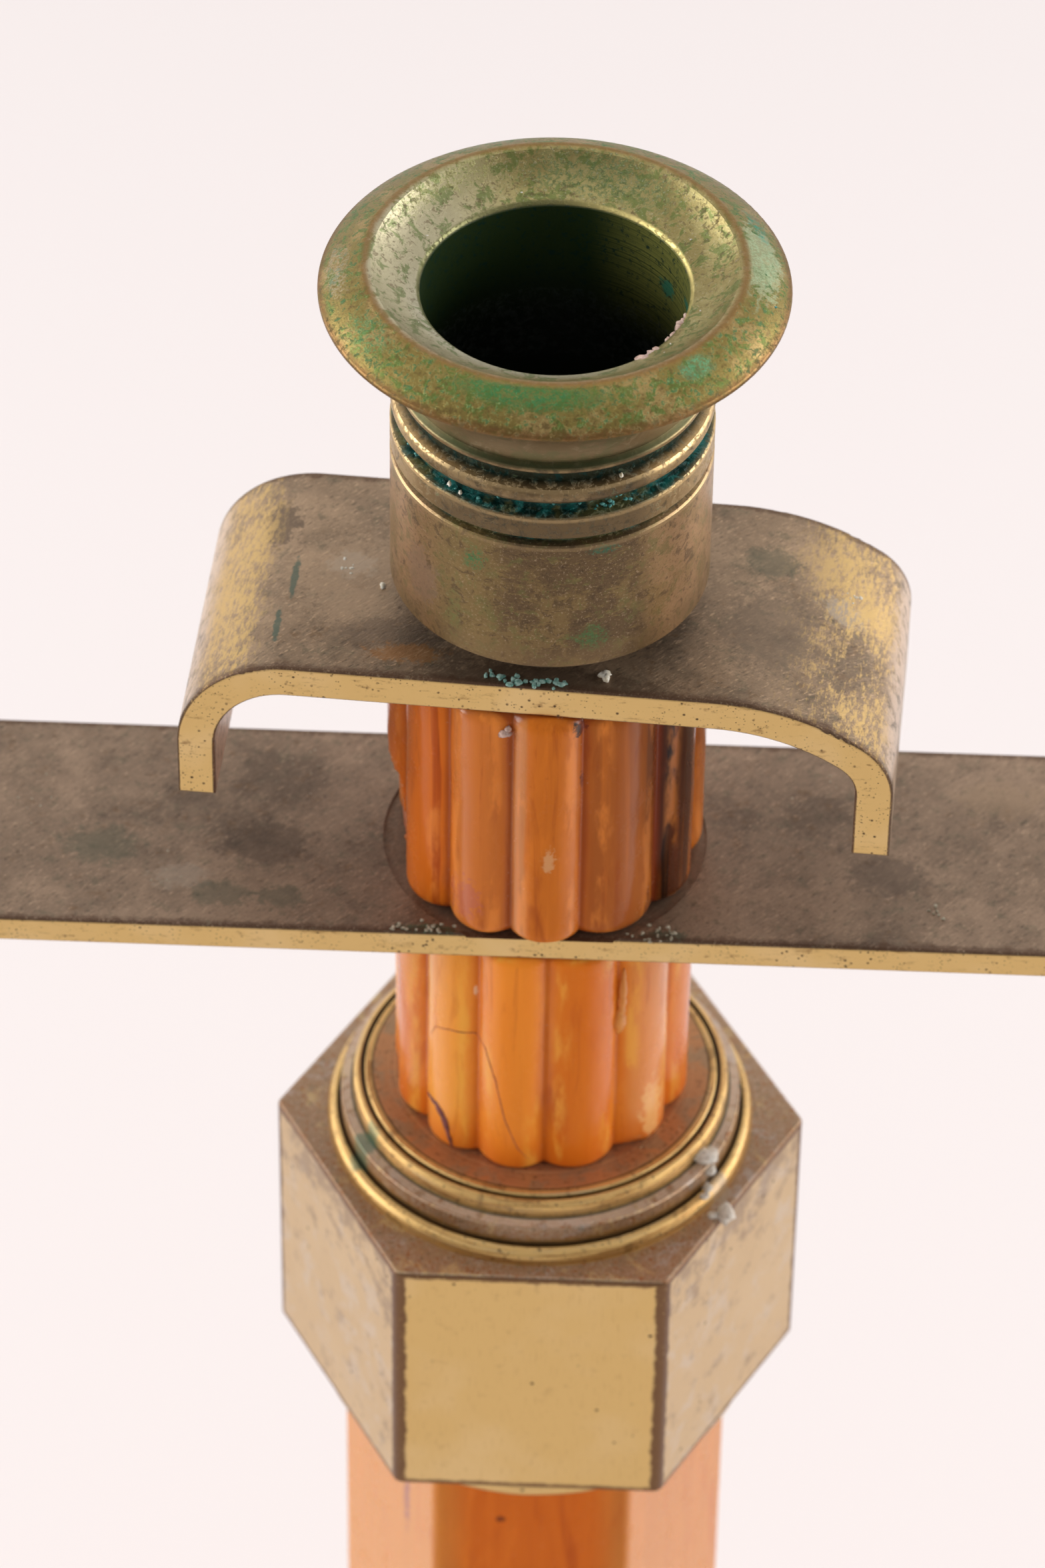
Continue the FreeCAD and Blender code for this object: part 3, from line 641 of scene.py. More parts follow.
    sixths = s.math("ARCTAN2", s.y, s.x) * (3 / math.pi)
    from_corner = 30 - ((s.math("FRACT", sixths) - 0.5) * 60).size()
    wander = (mottle - 0.5) * 1.6
    steep = s.step(s.nz.size(), 0.85, 0.6)
    upright = s.step(from_corner + wander * 1.2, 2.1, 1.4)
    skirt = s.step(out + wander * 0.5, -0.85, -0.4)
    hem = s.step(s.z + wander * 0.4, bottom + 0.65, bottom + 0.2)
    border = s.math("MAXIMUM", s.math("MAXIMUM", upright, skirt), hem) * steep
    border = border * s.step(radius, 20.4, 20.7)
    metal = s.mix(metal, BORDER_BROWN, border * s.step(grain, 0.2, 0.4) * 0.92)
    for x, y, size, colour, strength in spots:
        here = s.patch((s.x - x) / size, (s.y - y) / size, (crumbly - 0.5) * 1.4)
        metal = s.mix(metal, colour, here * strength)
    relief = grain * 0.01 + mottle * 0.015 - pits * 0.1 + scrape * 0.008
    return s.finish(Base_Color=metal, Metallic=0.88 - end * 0.25,
                    Roughness=0.38 + end * 0.08 + pits * 0.2 + (cloud - 0.5) * 0.1,
                    Normal=s.bump(relief, 0.7))


def base_brass(name):
    """Turned base: satin gold with lathe rings, and brown patina gathered in the steps."""
    s = Paint(name)
    radius = s.length(s.x, s.y)
    cloud = s.noise(0.05, 4.0, 0.6)
    mottle = s.noise(0.5, 5.0, 0.6)
    crumbly = s.noise(1.5, 5.0, 0.7)
    rings = s.noise(1.0, 2.0, 0.5, s.vector(radius * 3.0, s.z * 3.0, radius * 1.3))
    corner = s.crevice(6.0)
    metal = s.layers(
        (0.4, 0.27, 0.125),
        (GOLD, cloud, 0.46, 0.62, 0.6),
        (BROWN, mottle, 0.52, 0.68, 0.6),
        (BROWN_DARK, crumbly, 0.62, 0.72, 0.5),
        (BROWN_DARK, s.step(corner + (mottle - 0.5) * 0.3, 0.25, 0.6) * 0.9),
        (GREEN, s.step(corner + (mottle - 0.5) * 0.8, 0.55, 0.8) * 0.5),
        (GOLD_PALE, s.step(s.edge(0.7), 0.2, 0.6) * 0.6),
    )
    return s.finish(Base_Color=metal, Metallic=0.9, Roughness=0.36 + (mottle - 0.5) * 0.2,
                    Normal=s.bump(rings * 0.02 + mottle * 0.02, 0.7))


# -------- cast resin

def resin(name, seed, light, middling, dark, tints=(), marks=(), valley=None, foot_glow=None,
          stripes=0.1):
    """Polished cast resin, swirled along its length. Tints are (azimuth, half-width, colour,
    strength), marks are (azimuth, level, half-width, half-height, colour, strength), valley
    is the radius of the grooves between lobes, where painted shade and a painted highlight
    go, foot_glow is (level, colour) of a piece's lower end, and stripes is how strongly fine
    streaks show."""
    s = Paint(name)
    flow = s.vector(s.x * 0.9 + seed, s.y * 0.9, s.z * 0.16)
    swirl = s.noise(0.22, 4.0, 0.55, flow, 1.2)
    wisps = s.noise(0.9, 5.0, 0.65, s.vector(s.x, s.y + seed, s.z * 0.1), 0.8)
    threads = s.noise(0.9, 3.0, 0.55, s.vector(s.x, s.y + seed, s.z * 0.03))
    freckle = s.noise(1.4, 5.0, 0.75)
    ragged = (freckle - 0.5) * 4.0
    radius = s.length(s.x, s.y)
    azimuth = s.math("ARCTAN2", s.x, s.y * -1.0) * (180 / math.pi)
    colour = s.layers(
        middling,
        (light, swirl, 0.46, 0.66, 0.8),
        (dark, swirl, 0.44, 0.34, 0.5),
    )
    for centre, width, shade, strength in tints:
        away = (azimuth - centre + (swirl - 0.5) * 6.0).size()
        colour = s.mix(colour, shade, s.step(away, width * 1.15, width * 0.7) * strength)
    colour = s.layers(
        colour,
        (dark, wisps, 0.54, 0.7, 0.35),
        (brighter(light, 1.4, 0.01), s.step(threads, 0.52, 0.72) * stripes),
        (dark, s.step(threads, 0.45, 0.28) * stripes),
        (dark, freckle, 0.64, 0.76, 0.4),
    )
    if foot_glow:
        foot, shade = foot_glow
        colour = s.mix(colour, shade, s.step(s.z, foot + 6.0, foot + 0.5) * 0.7)
    for centre, level, width, height, shade, strength in marks:
        beside = (azimuth - centre) * (radius * (math.pi / 180))
        here = s.patch(beside / width, (s.z - level) / height, ragged)
        colour = s.mix(colour, shade, here * strength)
    # In the valleys between lobes: painted shade darkens the crease, pale crumbs of dust sit in it,
    # and a painted highlight runs along each lobe's edge.
    if valley:
        deep = s.step(radius, valley + 0.42, valley + 0.05)
        highlight_breakup = s.noise(0.4, 4.0, 0.6, s.vector(s.x, s.y, s.z * 0.3))
        colour = s.layers(
            colour,
            (dark, deep * 0.7),
            ((0.62, 0.42, 0.26), deep * s.step(freckle, 0.62, 0.7) * 0.6),
            (brighter(light, 1.5, 0.03),
             s.band(radius, valley + 0.55, valley + 1.0, 0.15) * s.step(highlight_breakup, 0.46, 0.6) * 0.5),
        )
    dull = s.step(s.noise(0.5, 5.0, 0.7, s.vector(s.x, s.y, s.z * 0.6)), 0.54, 0.66)
    relief = s.noise(0.35, 2.0) * 0.06 + freckle * dull * 0.01
    sideways = s.step(s.nx.size(), 0.25, 0.85)
    return s.finish(Base_Color=colour, Roughness=0.2 + dull * 0.15 + (freckle - 0.5) * 0.08,
                    Specular_IOR_Level=0.07 + sideways * 0.5, Subsurface_Weight=0.08,
                    Subsurface_Radius=(1.0, 0.2, 0.03), Subsurface_Scale=0.003,
                    Normal=s.bump(relief, 0.6))


# -------- steel, iron, felt and dirt

def dull_steel(name):
    s = Paint(name)
    grain = s.noise(1.2, 4.0, 0.6)
    shade = s.mix((0.36, 0.35, 0.33), (0.16, 0.13, 0.1), s.step(grain, 0.5, 0.7))
    return s.finish(Base_Color=shade, Metallic=0.9, Roughness=0.35 + grain * 0.2,
                    Normal=s.bump(grain * 0.03, 0.6))


def threaded_steel(name, pitch):
    """Steel with a fine thread drawn as ridges of the given pitch."""
    s = Paint(name)
    turn = s.math("ARCTAN2", s.y, s.x) * (0.5 / math.pi)
    phase = s.math("FRACT", s.z / pitch - turn)
    ridge = (phase - 0.5).size() * 2
    grain = s.noise(1.2, 4.0, 0.6)
    shade = s.mix((0.14, 0.12, 0.1), (0.46, 0.45, 0.42), s.step(ridge, 0.15, 0.8))
    return s.finish(Base_Color=shade, Metallic=0.9, Roughness=0.32 + grain * 0.15,
                    Normal=s.bump(ridge * 0.5, 1.0))


def cast_iron(name):
    s = Paint(name)
    grain = s.noise(0.8, 5.0, 0.65)
    shade = s.mix((0.05, 0.047, 0.045), (0.13, 0.08, 0.05), s.step(grain, 0.5, 0.7))
    return s.finish(Base_Color=shade, Metallic=0.5, Roughness=0.75,
                    Normal=s.bump(grain * 0.3, 0.8))


def green_felt(name):
    s = Paint(name)
    fibre = s.noise(2.5, 5.0, 0.75)
    cloud = s.noise(0.1, 3.0)
    shade = s.mix((0.015, 0.06, 0.03), (0.04, 0.13, 0.065), fibre)
    shade = s.mix(shade, (0.05, 0.1, 0.05), s.step(cloud, 0.4, 0.7) * 0.5)
    return s.finish(Base_Color=shade, Roughness=0.95, Sheen_Weight=0.6,
                    Normal=s.bump(fibre * 0.3, 1.0))


def powder(name, light, dark, waxy=0.0):
    """Crumbs of wax or verdigris, mottled between two colours."""
    s = Paint(name)
    grain = s.noise(2.5, 4.0, 0.7)
    return s.finish(Base_Color=s.mix(dark, light, s.step(grain, 0.38, 0.6)),
                    Roughness=0.85 - waxy * 0.4, Subsurface_Weight=waxy * 0.3,
                    Subsurface_Radius=(1.0, 0.8, 0.6), Subsurface_Scale=0.001,
                    Normal=s.bump(grain * 0.08, 0.8))


# -------- pieces made here

def new_piece(name, points, faces, material, body):
    """A mesh made of millimetre points that rides on a body."""
    mesh = bpy.data.meshes.new(name)
    mesh.from_pydata([point * MM for point in points], [], faces)
    mesh.shade_smooth()
    mesh.materials.append(material)
    piece = bpy.data.objects.new(name, mesh)
    bpy.context.scene.collection.objects.link(piece)
    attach(piece, body)
    return piece


def ring_faces(rings, count, closed=False):
    """Quads between rings of points that follow one another in one list."""
    faces = []
    for ring in range(rings if closed else rings - 1):
        start, after = ring * count, (ring + 1) % rings * count
        for i in range(count):
            j = (i + 1) % count
            faces.append((start + i, start + j, after + j, after + i))
    return faces


class Bead:
    """A fluted bead: round lobes in a ring, each between two valleys, slightly uneven.
    Chips are (azimuth, height above the foot, half-width, half-height, depth)."""

    LOBE = 4.0  # radius of a lobe
    EVEN_STEP = 30.0  # degrees that a lobe would take if all were alike

    def __init__(self, node, outer, end_round, first_valley, widths, chips):
        self.node = node
        self.outer = outer
        self.end_round = end_round
        self.chips = chips
        self.foot, self.top = low(node).z, high(node).z
        self.valleys = [first_valley]
        for width in widths:
            self.valleys.append(self.valleys[-1] + width)

    def lobe_reach(self, azimuth, inset):
        """How far the unworn bead reaches; inset is how far its rounded ends draw it in."""
        azimuth = (azimuth - self.valleys[0]) % 360 + self.valleys[0]
        for start, end in zip(self.valleys, self.valleys[1:]):
            if azimuth < end:
                break
        away = math.radians(((azimuth - start) / (end - start) - 0.5) * self.EVEN_STEP)
        ring = self.outer - self.LOBE
        lobe = self.LOBE - inset
        return ring * math.cos(away) + math.sqrt(lobe * lobe - (ring * math.sin(away)) ** 2)

    def radius(self, azimuth, z, inset=0.0):
        radius = self.lobe_reach(azimuth, inset)
        spot = around(azimuth, radius, z)
        radius += 0.07 * noise.noise(spot * 0.16) + 0.02 * noise.noise(spot * 0.9)
        for chip_azimuth, chip_height, half_width, half_height, depth in self.chips:
            away = (azimuth - chip_azimuth + 180) % 360 - 180
            across = math.radians(away) * self.outer / half_width
            along = (z - self.foot - chip_height) / half_height
            dent = 1 - across * across - along * along + 0.35 * noise.noise(spot * 0.7)
            if dent > 0:
                radius -= depth * dent ** 0.6
        return radius

    def build(self, name, material):
        """Make the piece. Each bead's body has the name of its node."""
        turns, corner_steps, body_steps = 360, 5, 46
        angles = [math.pi / 2 * i / corner_steps for i in range(corner_steps)]
        ends = [(self.end_round * (1 - math.cos(a)), self.end_round * (1 - math.sin(a)))
                for a in angles]
        straight = self.top - self.foot - 2 * self.end_round
        levels = [(self.foot + rise, inset) for rise, inset in ends]
        levels += [(self.foot + self.end_round + straight * i / body_steps, 0.0)
                   for i in range(body_steps + 1)]
        levels += [(self.top - rise, inset) for rise, inset in reversed(ends)]
        points = []
        for z, inset in levels:
            for i in range(turns):
                azimuth = 360.0 * i / turns
                points.append(around(azimuth, self.radius(azimuth, z, inset), z))
        for z in (self.top, self.foot):
            points += [around(360.0 * i / turns, ROD_HOLE, z) for i in range(turns)]
        faces = ring_faces(len(levels) + 2, turns, closed=True)
        bead = new_piece(name, points, faces, material, self.node)
        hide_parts(self.node)

    def path(self, corners, steps=8):
        """A path on the bead through (azimuth, height above its foot) corners."""
        path = []
        for (a0, z0), (a1, z1) in zip(corners, corners[1:]):
            for i in range(steps):
                share = i / steps
                azimuth = a0 + (a1 - a0) * share
                z = self.foot + z0 + (z1 - z0) * share
                point = around(azimuth, self.radius(azimuth, z), z)
                path.append((point, around(azimuth, 1.0, 0.0)))
        return path


def make_lip(name, node, outer, collar_face, column_face, material):
    """The thin disc between a collar and the column: inner face against the collar, and the
    outer face's edge rubbed round."""
    turns, inner, rounding = 240, 15.0, 0.3
    back = math.copysign(rounding, collar_face - column_face)
    profile = ((inner, collar_face), (outer, collar_face), (outer, column_face + back),
               (outer - rounding * 0.3, column_face + back * 0.3),
               (outer - rounding, column_face), (inner, column_face))
    points = []
    for radius, z in profile:
        for i in range(turns):
            azimuth = 360.0 * i / turns
            wobble = 0.05 * noise.noise(around(azimuth, radius, z) * 0.3)
            points.append(around(azimuth, radius + wobble, z))
    faces = ring_faces(len(profile), turns, closed=True)
    lip = new_piece(name, points, faces, material, "stand")
    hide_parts(node)


def make_felt():
    """The felt disc: two soft faces and a frayed side."""
    node, middle_hole, turns = "felt_pad", 0.5, 240
    outer, top = high(node).x, high(node).z
    profile = ((middle_hole, 0.0), (outer * 0.5, 0.0), (outer - 2.0, 0.0), (outer - 0.35, 0.08),
               (outer, 0.35), (outer + 0.12, 0.75), (outer, 1.15), (outer - 0.35, top - 0.05),
               (outer - 2.0, top), (outer * 0.5, top), (middle_hole, top))
    points = []
    for radius, z in profile:
        for i in range(turns):
            azimuth = 360.0 * i / turns
            spot = around(azimuth, radius, z)
            fray = 0.22 * noise.noise(spot * 1.3) + 0.12 * noise.noise(spot * 4.0)
            points.append(around(azimuth, radius + (fray if radius > outer - 1 else 0.0), z))
    faces = ring_faces(len(profile), turns)
    faces.append(tuple(range(turns - 1, -1, -1)))
    last = (len(profile) - 1) * turns
    faces.append(tuple(range(last, last + turns)))
    felt = new_piece("felt_disc", points, faces, green_felt("felt_green"), "stand")
    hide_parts(node)


class Scraps:
    """Small lumps and strands gathered into one mesh."""

    ball = bmesh.new()
    bmesh.ops.create_icosphere(ball, subdivisions=2, radius=1.0)
    ball_points = [vertex.co.copy() for vertex in ball.verts]
    ball_faces = [tuple(vertex.index for vertex in face.verts) for face in ball.faces]
    ball.free()

    def __init__(self, seed):
        self.points = []
        self.faces = []
        self.chance = random.Random(seed)

    def lump(self, place, size, flat=0.65):
        """A rough lump as wide as size, sunk a little into what it sits on."""
        start = len(self.points)
        shift = Vector((self.chance.uniform(0, 90), self.chance.uniform(0, 90), 0))
        stretch = self.chance.uniform(0.7, 1.25)
        for point in self.ball_points:
            swell = 1 + 0.45 * noise.noise(point * 1.3 + shift)
            swell += 0.15 * noise.noise(point * 4 + shift)
            shape = Vector((point.x * stretch, point.y / stretch, point.z * flat))
            self.points.append(place + shape * swell * size / 2)
        self.faces += [tuple(start + i for i in face) for face in self.ball_faces]

    def scatter(self, places, size, spread, count, flat=0.65):
        """A few lumps round each place."""
        for place in places:
            for _ in range(count):
                offset = Vector((self.chance.gauss(0, spread), self.chance.gauss(0, spread), 0))
                self.lump(place + offset, size * self.chance.uniform(0.55, 1.2), flat)

    def strand(self, path, width, height):
        """A low ridge along a path of (point, normal) pairs, narrow at both ends."""
        sides = 6
        start = len(self.points)
        for i, (point, normal) in enumerate(path):
            after = path[min(i + 1, len(path) - 1)][0]
            before = path[max(i - 1, 0)][0]
            across = normal.cross(after - before).normalized()
            taper = math.sin(math.pi * (i + 0.4) / (len(path) - 0.2)) ** 0.5
            taper *= 1 + 0.35 * noise.noise(point * 1.7)
            for side in range(sides):
                angle = 2 * math.pi * side / sides
                self.points.append(point + across * (math.cos(angle) * width * taper / 2)
                                   + normal * (math.sin(angle) * height * taper))
        self.faces += [tuple(start + i for i in face) for face in ring_faces(len(path), sides)]
        self.faces.append(tuple(start + i for i in range(sides - 1, -1, -1)))
        last = start + (len(path) - 1) * sides
        self.faces.append(tuple(last + i for i in range(sides)))

    def build(self, name, material, body, node):
        new_piece(name, self.points, self.faces, material, body)


# -------- dressing the CAD nodes

# The tones of the two strips, and the marks on them as strip_brass takes them; three of the strap's
# marks are painted shadow and a painted reflection round the centre cup's drum.
STRAP_TONE = (0.27, 0.185, 0.115)
BAR_TONE = (0.245, 0.168, 0.112)
SMEAR = (0.42, 0.36, 0.29)
DIM_TEAL = (0.05, 0.1, 0.075)
MURKY = (0.09, 0.095, 0.06)
STRAP_SPOTS = (
    (-17.0, 1.0, 2.0, 1.6, SMEAR, 0.45),
    (-16.0, -1.0, 6.0, 6.0, (0.46, 0.32, 0.2), 0.4),
    # Painted shadow at the left front of the centre cup's drum.
    (-13.0, -7.6, 4.0, 2.2, (0.11, 0.075, 0.05), 0.55),
    (-21.6, -1.5, 0.3, 2.6, DIM_TEAL, 0.75),
    (-22.3, -7.4, 0.3, 2.2, DIM_TEAL, 0.75),
    (-23.6, 6.0, 1.6, 3.0, (0.09, 0.06, 0.04), 0.7),
    (18.6, 5.7, 2.4, 2.0, MURKY, 0.5),
    (19.0, -3.0, 4.0, 5.0, (0.17, 0.12, 0.08), 0.55),
    (24.8, 2.4, 1.8, 1.6, SMEAR, 0.5),
    # Painted shadow under the front edge of the centre cup's drum.
    (0.0, -12.0, 11.0, 2.2, (0.1, 0.06, 0.035), 0.6),
    # Painted reflection: an orange glow thrown from the drum onto the strap at its left front.
    (-11.0, -9.6, 3.0, 1.2, (0.36, 0.15, 0.03), 0.5),
)
BAR_SPOTS = (
    (-31.6, -6.6, 2.4, 1.6, (0.36, 0.29, 0.22), 0.45),
    (-38.8, -3.0, 3.4, 2.2, MURKY, 0.5),
    (-27.9, -8.7, 2.6, 1.6, MURKY, 0.5),
    (-22.7, -8.8, 2.2, 1.4, MURKY, 0.5),
    (-24.2, -2.3, 4.0, 2.6, (0.09, 0.06, 0.04), 0.5),
    (40.0, 6.6, 4.0, 2.4, (0.34, 0.23, 0.14), 0.4),
    (30.0, -3.5, 3.6, 2.6, (0.1, 0.07, 0.05), 0.5),
    (-9.5, -12.2, 2.4, 0.7, (0.05, 0.12, 0.07), 0.8),
    (11.0, -12.0, 2.4, 0.7, (0.07, 0.12, 0.08), 0.6),
)

coat("cross_bar", strip_brass("bar_brass", 0.0, BAR_TONE, 0.2, 0.8, BAR_SPOTS))
coat("top_strap", strip_brass("strap_brass", STRAP_TURN, STRAP_TONE, 0.3, 0.92, STRAP_SPOTS))
# No slope is as steep as 2, so the screws have no rubbed bends.
screws = strip_brass("screw_brass", 0.0, STRAP_TONE, 2.0, 3.0)
for side in ("left", "right"):
    coat(f"{side}_cup_screw", screws)
    coat(f"{side}_screw_washer", screws)

for side, turn, _ in CUPS:
    material = cup_brass(f"{side}_cup_brass", f"{side}_candle_cup", turn)
    coat(f"{side}_candle_cup", material)
    coat(f"{side}_cup_spacer", material)

COLLAR_SPOTS = (
    (-15.6, -8.6, 1.3, (0.09, 0.22, 0.15), 0.6),
    (16.4, -9.6, 1.3, (0.5, 0.42, 0.33), 0.5),
)
coat("hex_collar", collar_brass("collar_brass", HEX_TOP, 1.0, HEX_BOTTOM, 0.0, COLLAR_SPOTS))
coat("foot_collar", collar_brass("foot_brass", FOOT_FACE, -1.0, FOOT_FACE, 60.0))
coat("base_shell", base_brass("base_brass"))

# Painted light: the column's left and right faces are painted paler orange, as the side lights show
# them.
COLUMN_SIDE_LIGHT = (
    (-60.0, 38.0, (0.6, 0.235, 0.046), 1.0),
    (62.0, 38.0, (0.55, 0.205, 0.042), 1.0),
)
COLUMN_MARKS = (
    (-9.5, COLUMN_TOP - 9.2, 0.4, 0.4, (0.12, 0.02, 0.01), 0.8),
    (-46.0, COLUMN_TOP - 11.6, 0.5, 4.0, (0.2, 0.06, 0.1), 0.6),
)
coat("column", resin("column_resin", 77.0, (0.8, 0.2, 0.018), (0.68, 0.15, 0.012),
                     (0.46, 0.075, 0.008), COLUMN_SIDE_LIGHT, COLUMN_MARKS))
coat("tie_rod", threaded_steel("rod_steel", pitch=1.25))
for node in ("base_nut", "base_washer"):
    coat(node, dull_steel(f"{node}_steel"))
coat("base_ballast", cast_iron("ballast_iron"))


# -------- beads, lips and felt

upper_bead = Bead(
    "upper_bead", 13.8, 1.4, -12.1,
    (28.0, 33.3, 30.0, 31.0, 30.2, 31.0, 30.0, 30.4, 30.2, 30.0, 29.1, 26.8),
    ((-84, 4.0, 3.6, 9.5, 1.35), (-76, 0.5, 3.2, 3.6, 1.0), (-92, 13.0, 1.6, 1.4, 0.5),
     (120, 0.8, 1.8, 1.2, 0.5)))
UPPER_TINTS = (
    (-62.0, 24.0, (0.72, 0.155, 0.01), 0.85),
    (-43.0, 1.6, (0.34, 0.035, 0.006), 0.6),
    (-64.0, 2.2, (0.34, 0.035, 0.006), 0.5),
    (-25.0, 11.0, (0.66, 0.2, 0.045), 0.6),
    (-9.0, 3.5, (0.58, 0.24, 0.075), 0.6),
    (32.0, 15.0, (0.36, 0.1, 0.022), 0.75),
    (57.0, 10.0, (0.065, 0.016, 0.007), 0.95),
    (54.0, 1.4, (0.02, 0.008, 0.005), 0.9),
    (43.0, 3.0, (0.2, 0.05, 0.012), 0.7),
    (73.0, 6.0, (0.24, 0.05, 0.012), 0.8),
    (150.0, 6.0, (0.12, 0.03, 0.012), 0.7),
)
UPPER_MARKS = (
    (3.0, upper_bead.foot + 10.45, 0.55, 1.3, (0.72, 0.42, 0.2), 0.6),
    (-78.0, upper_bead.foot + 4.5, 1.5, 6.5, (0.8, 0.46, 0.28), 0.75),
    (-29.0, upper_bead.foot + 4.0, 1.6, 2.2, (0.5, 0.13, 0.1), 0.5),
    (14.0, upper_bead.foot + 24.85, 0.6, 0.7, (0.02, 0.016, 0.014), 0.95),
    (15.2, upper_bead.foot + 18.95, 0.22, 0.7, (0.04, 0.025, 0.02), 0.8),
)
upper_bead.build("fluted_upper_bead", resin(
    "upper_resin", 3.0, (0.72, 0.2, 0.02), (0.6, 0.16, 0.016), (0.3, 0.045, 0.008),
    UPPER_TINTS, UPPER_MARKS, valley=12.56, stripes=0.22))

lower_bead = Bead(
    "lower_bead", 13.35, 0.9, -25.4,
    (28.8, 30.7, 31.9, 30.0, 29.3, 30.6, 29.6, 30.2, 30.1, 30.0, 30.3, 28.5),
    ((40, 0.4, 1.6, 0.9, 0.35), (-160, 14.0, 1.2, 2.0, 0.3)))
LOWER_TINTS = (
    (-40.0, 13.0, (1.0, 0.4, 0.06), 0.8),
    (-11.0, 12.0, (0.93, 0.29, 0.03), 0.8),
    (19.0, 12.0, (0.74, 0.18, 0.014), 0.8),
    (50.0, 13.0, (0.8, 0.3, 0.08), 0.7),
)
LOWER_MARKS = (
    (50.0, lower_bead.foot + 4.0, 1.2, 3.4, (0.95, 0.55, 0.2), 0.6),
    (-26.4, lower_bead.foot + 20.6, 0.16, 0.6, (0.95, 0.66, 0.42), 0.7),
)
lower_bead.build("fluted_lower_bead", resin(
    "lower_resin", 41.0, (0.95, 0.31, 0.03), (0.78, 0.2, 0.016), (0.52, 0.095, 0.01),
    LOWER_TINTS, LOWER_MARKS, valley=12.11, foot_glow=(lower_bead.foot, (0.74, 0.15, 0.01))))

LIP_RADIUS, LIP_HEIGHT = 20.25, 2.1
make_lip("collar_lip_disc", "collar_lip", LIP_RADIUS, HEX_BOTTOM, HEX_BOTTOM - LIP_HEIGHT,
         nodes["hex_collar"].data.materials[0])
make_lip("foot_lip_disc", "foot_lip", LIP_RADIUS, FOOT_TOP, FOOT_TOP + LIP_HEIGHT,
         nodes["foot_collar"].data.materials[0])
make_felt()


# -------- wax, verdigris and drips

wax = powder("wax", (0.78, 0.72, 0.6), (0.52, 0.46, 0.34), 1.0)
verdigris = powder("verdigris", (0.3, 0.44, 0.38), (0.08, 0.21, 0.17))
teal_crust = powder("teal_crust", (0.12, 0.36, 0.33), (0.02, 0.15, 0.13))
grit = powder("grit", (0.5, 0.45, 0.34), (0.22, 0.2, 0.13))
tar = powder("tar", (0.24, 0.06, 0.055), (0.11, 0.028, 0.03), 0.6)
clear_wax = powder("clear_wax", (0.74, 0.68, 0.6), (0.5, 0.44, 0.37), 1.0)
rust_vein = powder("rust_vein", (0.5, 0.12, 0.03), (0.34, 0.07, 0.02), 0.6)
pink_wax = powder("pink_wax", (0.66, 0.46, 0.38), (0.42, 0.27, 0.22), 1.0)


def soil_cup(side, turn, seed):
    """Wax at the socket's mouth, and crumbs in the grooves and on the flange."""
    node, body = f"{side}_candle_cup", f"{side}_cup"
    centre, bottom = middle(node), low(node).z

    def on_cup(azimuth, radius, rise):
        return around(azimuth + turn, radius, bottom + rise, centre)

    drips = Scraps(seed)
    for azimuth in (40, 42, 43.5, 45.5, 48):
        drips.lump(on_cup(azimuth, drips.chance.uniform(11.2, 11.6), 29.9),
                   drips.chance.uniform(0.9, 1.5), 0.6)
    for azimuth in (57, 61, 66, 69, 71, 74):
        drips.lump(on_cup(azimuth, 11.15, 29.75), drips.chance.uniform(0.6, 0.9), 0.8)
    drips.build(f"{side}_cup_wax", pink_wax, body, node)

    flecks = Scraps(seed + 2)
    for azimuth, radius, rise, size in (
            (47, 16.7, 31.8, 0.5), (48, 16.2, 32.1, 0.35), (-38, 13.1, 17.4, 0.5),
            (-33, 13.1, 17.1, 0.4), (26.6, 13.3, 20.3, 0.45), (37.5, 14.4, 26.5, 0.4)):
        flecks.lump(on_cup(azimuth, radius, rise), size)
    for _ in range(26):
        azimuth = flecks.chance.uniform(0, 360)
        flecks.lump(on_cup(azimuth, flecks.chance.uniform(11.8, 14.8), 30.6),
                    flecks.chance.uniform(0.12, 0.24), 0.4)
    flecks.build(f"{side}_cup_flecks", wax, body, node)

    crumbs = Scraps(seed + 1)
    for _ in range(46):
        azimuth = crumbs.chance.choice((24, 24, 30, -22, -60, 95, 150, 215, 280))
        azimuth += crumbs.chance.gauss(0, 8)
        crumbs.lump(on_cup(azimuth, 12.72, crumbs.chance.uniform(16.8, 17.9)),
                    crumbs.chance.uniform(0.18, 0.42))
    for azimuth in (80, 96, 100, 104, 118, -66, -60, 20, -8):
        crumbs.lump(on_cup(azimuth, crumbs.chance.uniform(16.6, 18.2), 31.2),
                    crumbs.chance.uniform(0.2, 0.4), 0.4)
    crumbs.build(f"{side}_cup_verdigris", teal_crust, body, node)


def soil_strap():
    """Verdigris squeezed out under the cup's front, and specks of wax on the strap."""
    crust = Scraps(31)
    for azimuth in (-22, -17, -12, -8, -4, 0, 4, 8):
        crust.scatter([around(azimuth, 12.2, STRAP_TOP + 0.1)], 0.55, 0.3, 4, 0.5)
    crust.build("strap_verdigris", verdigris, "strap", "top_strap")

    specks = Scraps(32)
    specks.scatter([around(24, 12.0, STRAP_TOP + 0.2)], 0.7, 0.25, 4)
    specks.lump(Vector((-14.1, -0.6, STRAP_TOP + 0.1)), 0.6)
    specks.scatter([Vector((25.6, 0.6, STRAP_TOP - 0.3))], 0.3, 0.7, 7, 0.3)
    specks.scatter([Vector((-17.0, 1.6, STRAP_TOP))], 0.3, 0.5, 6, 0.3)
    specks.build("strap_wax", wax, "strap", "top_strap")


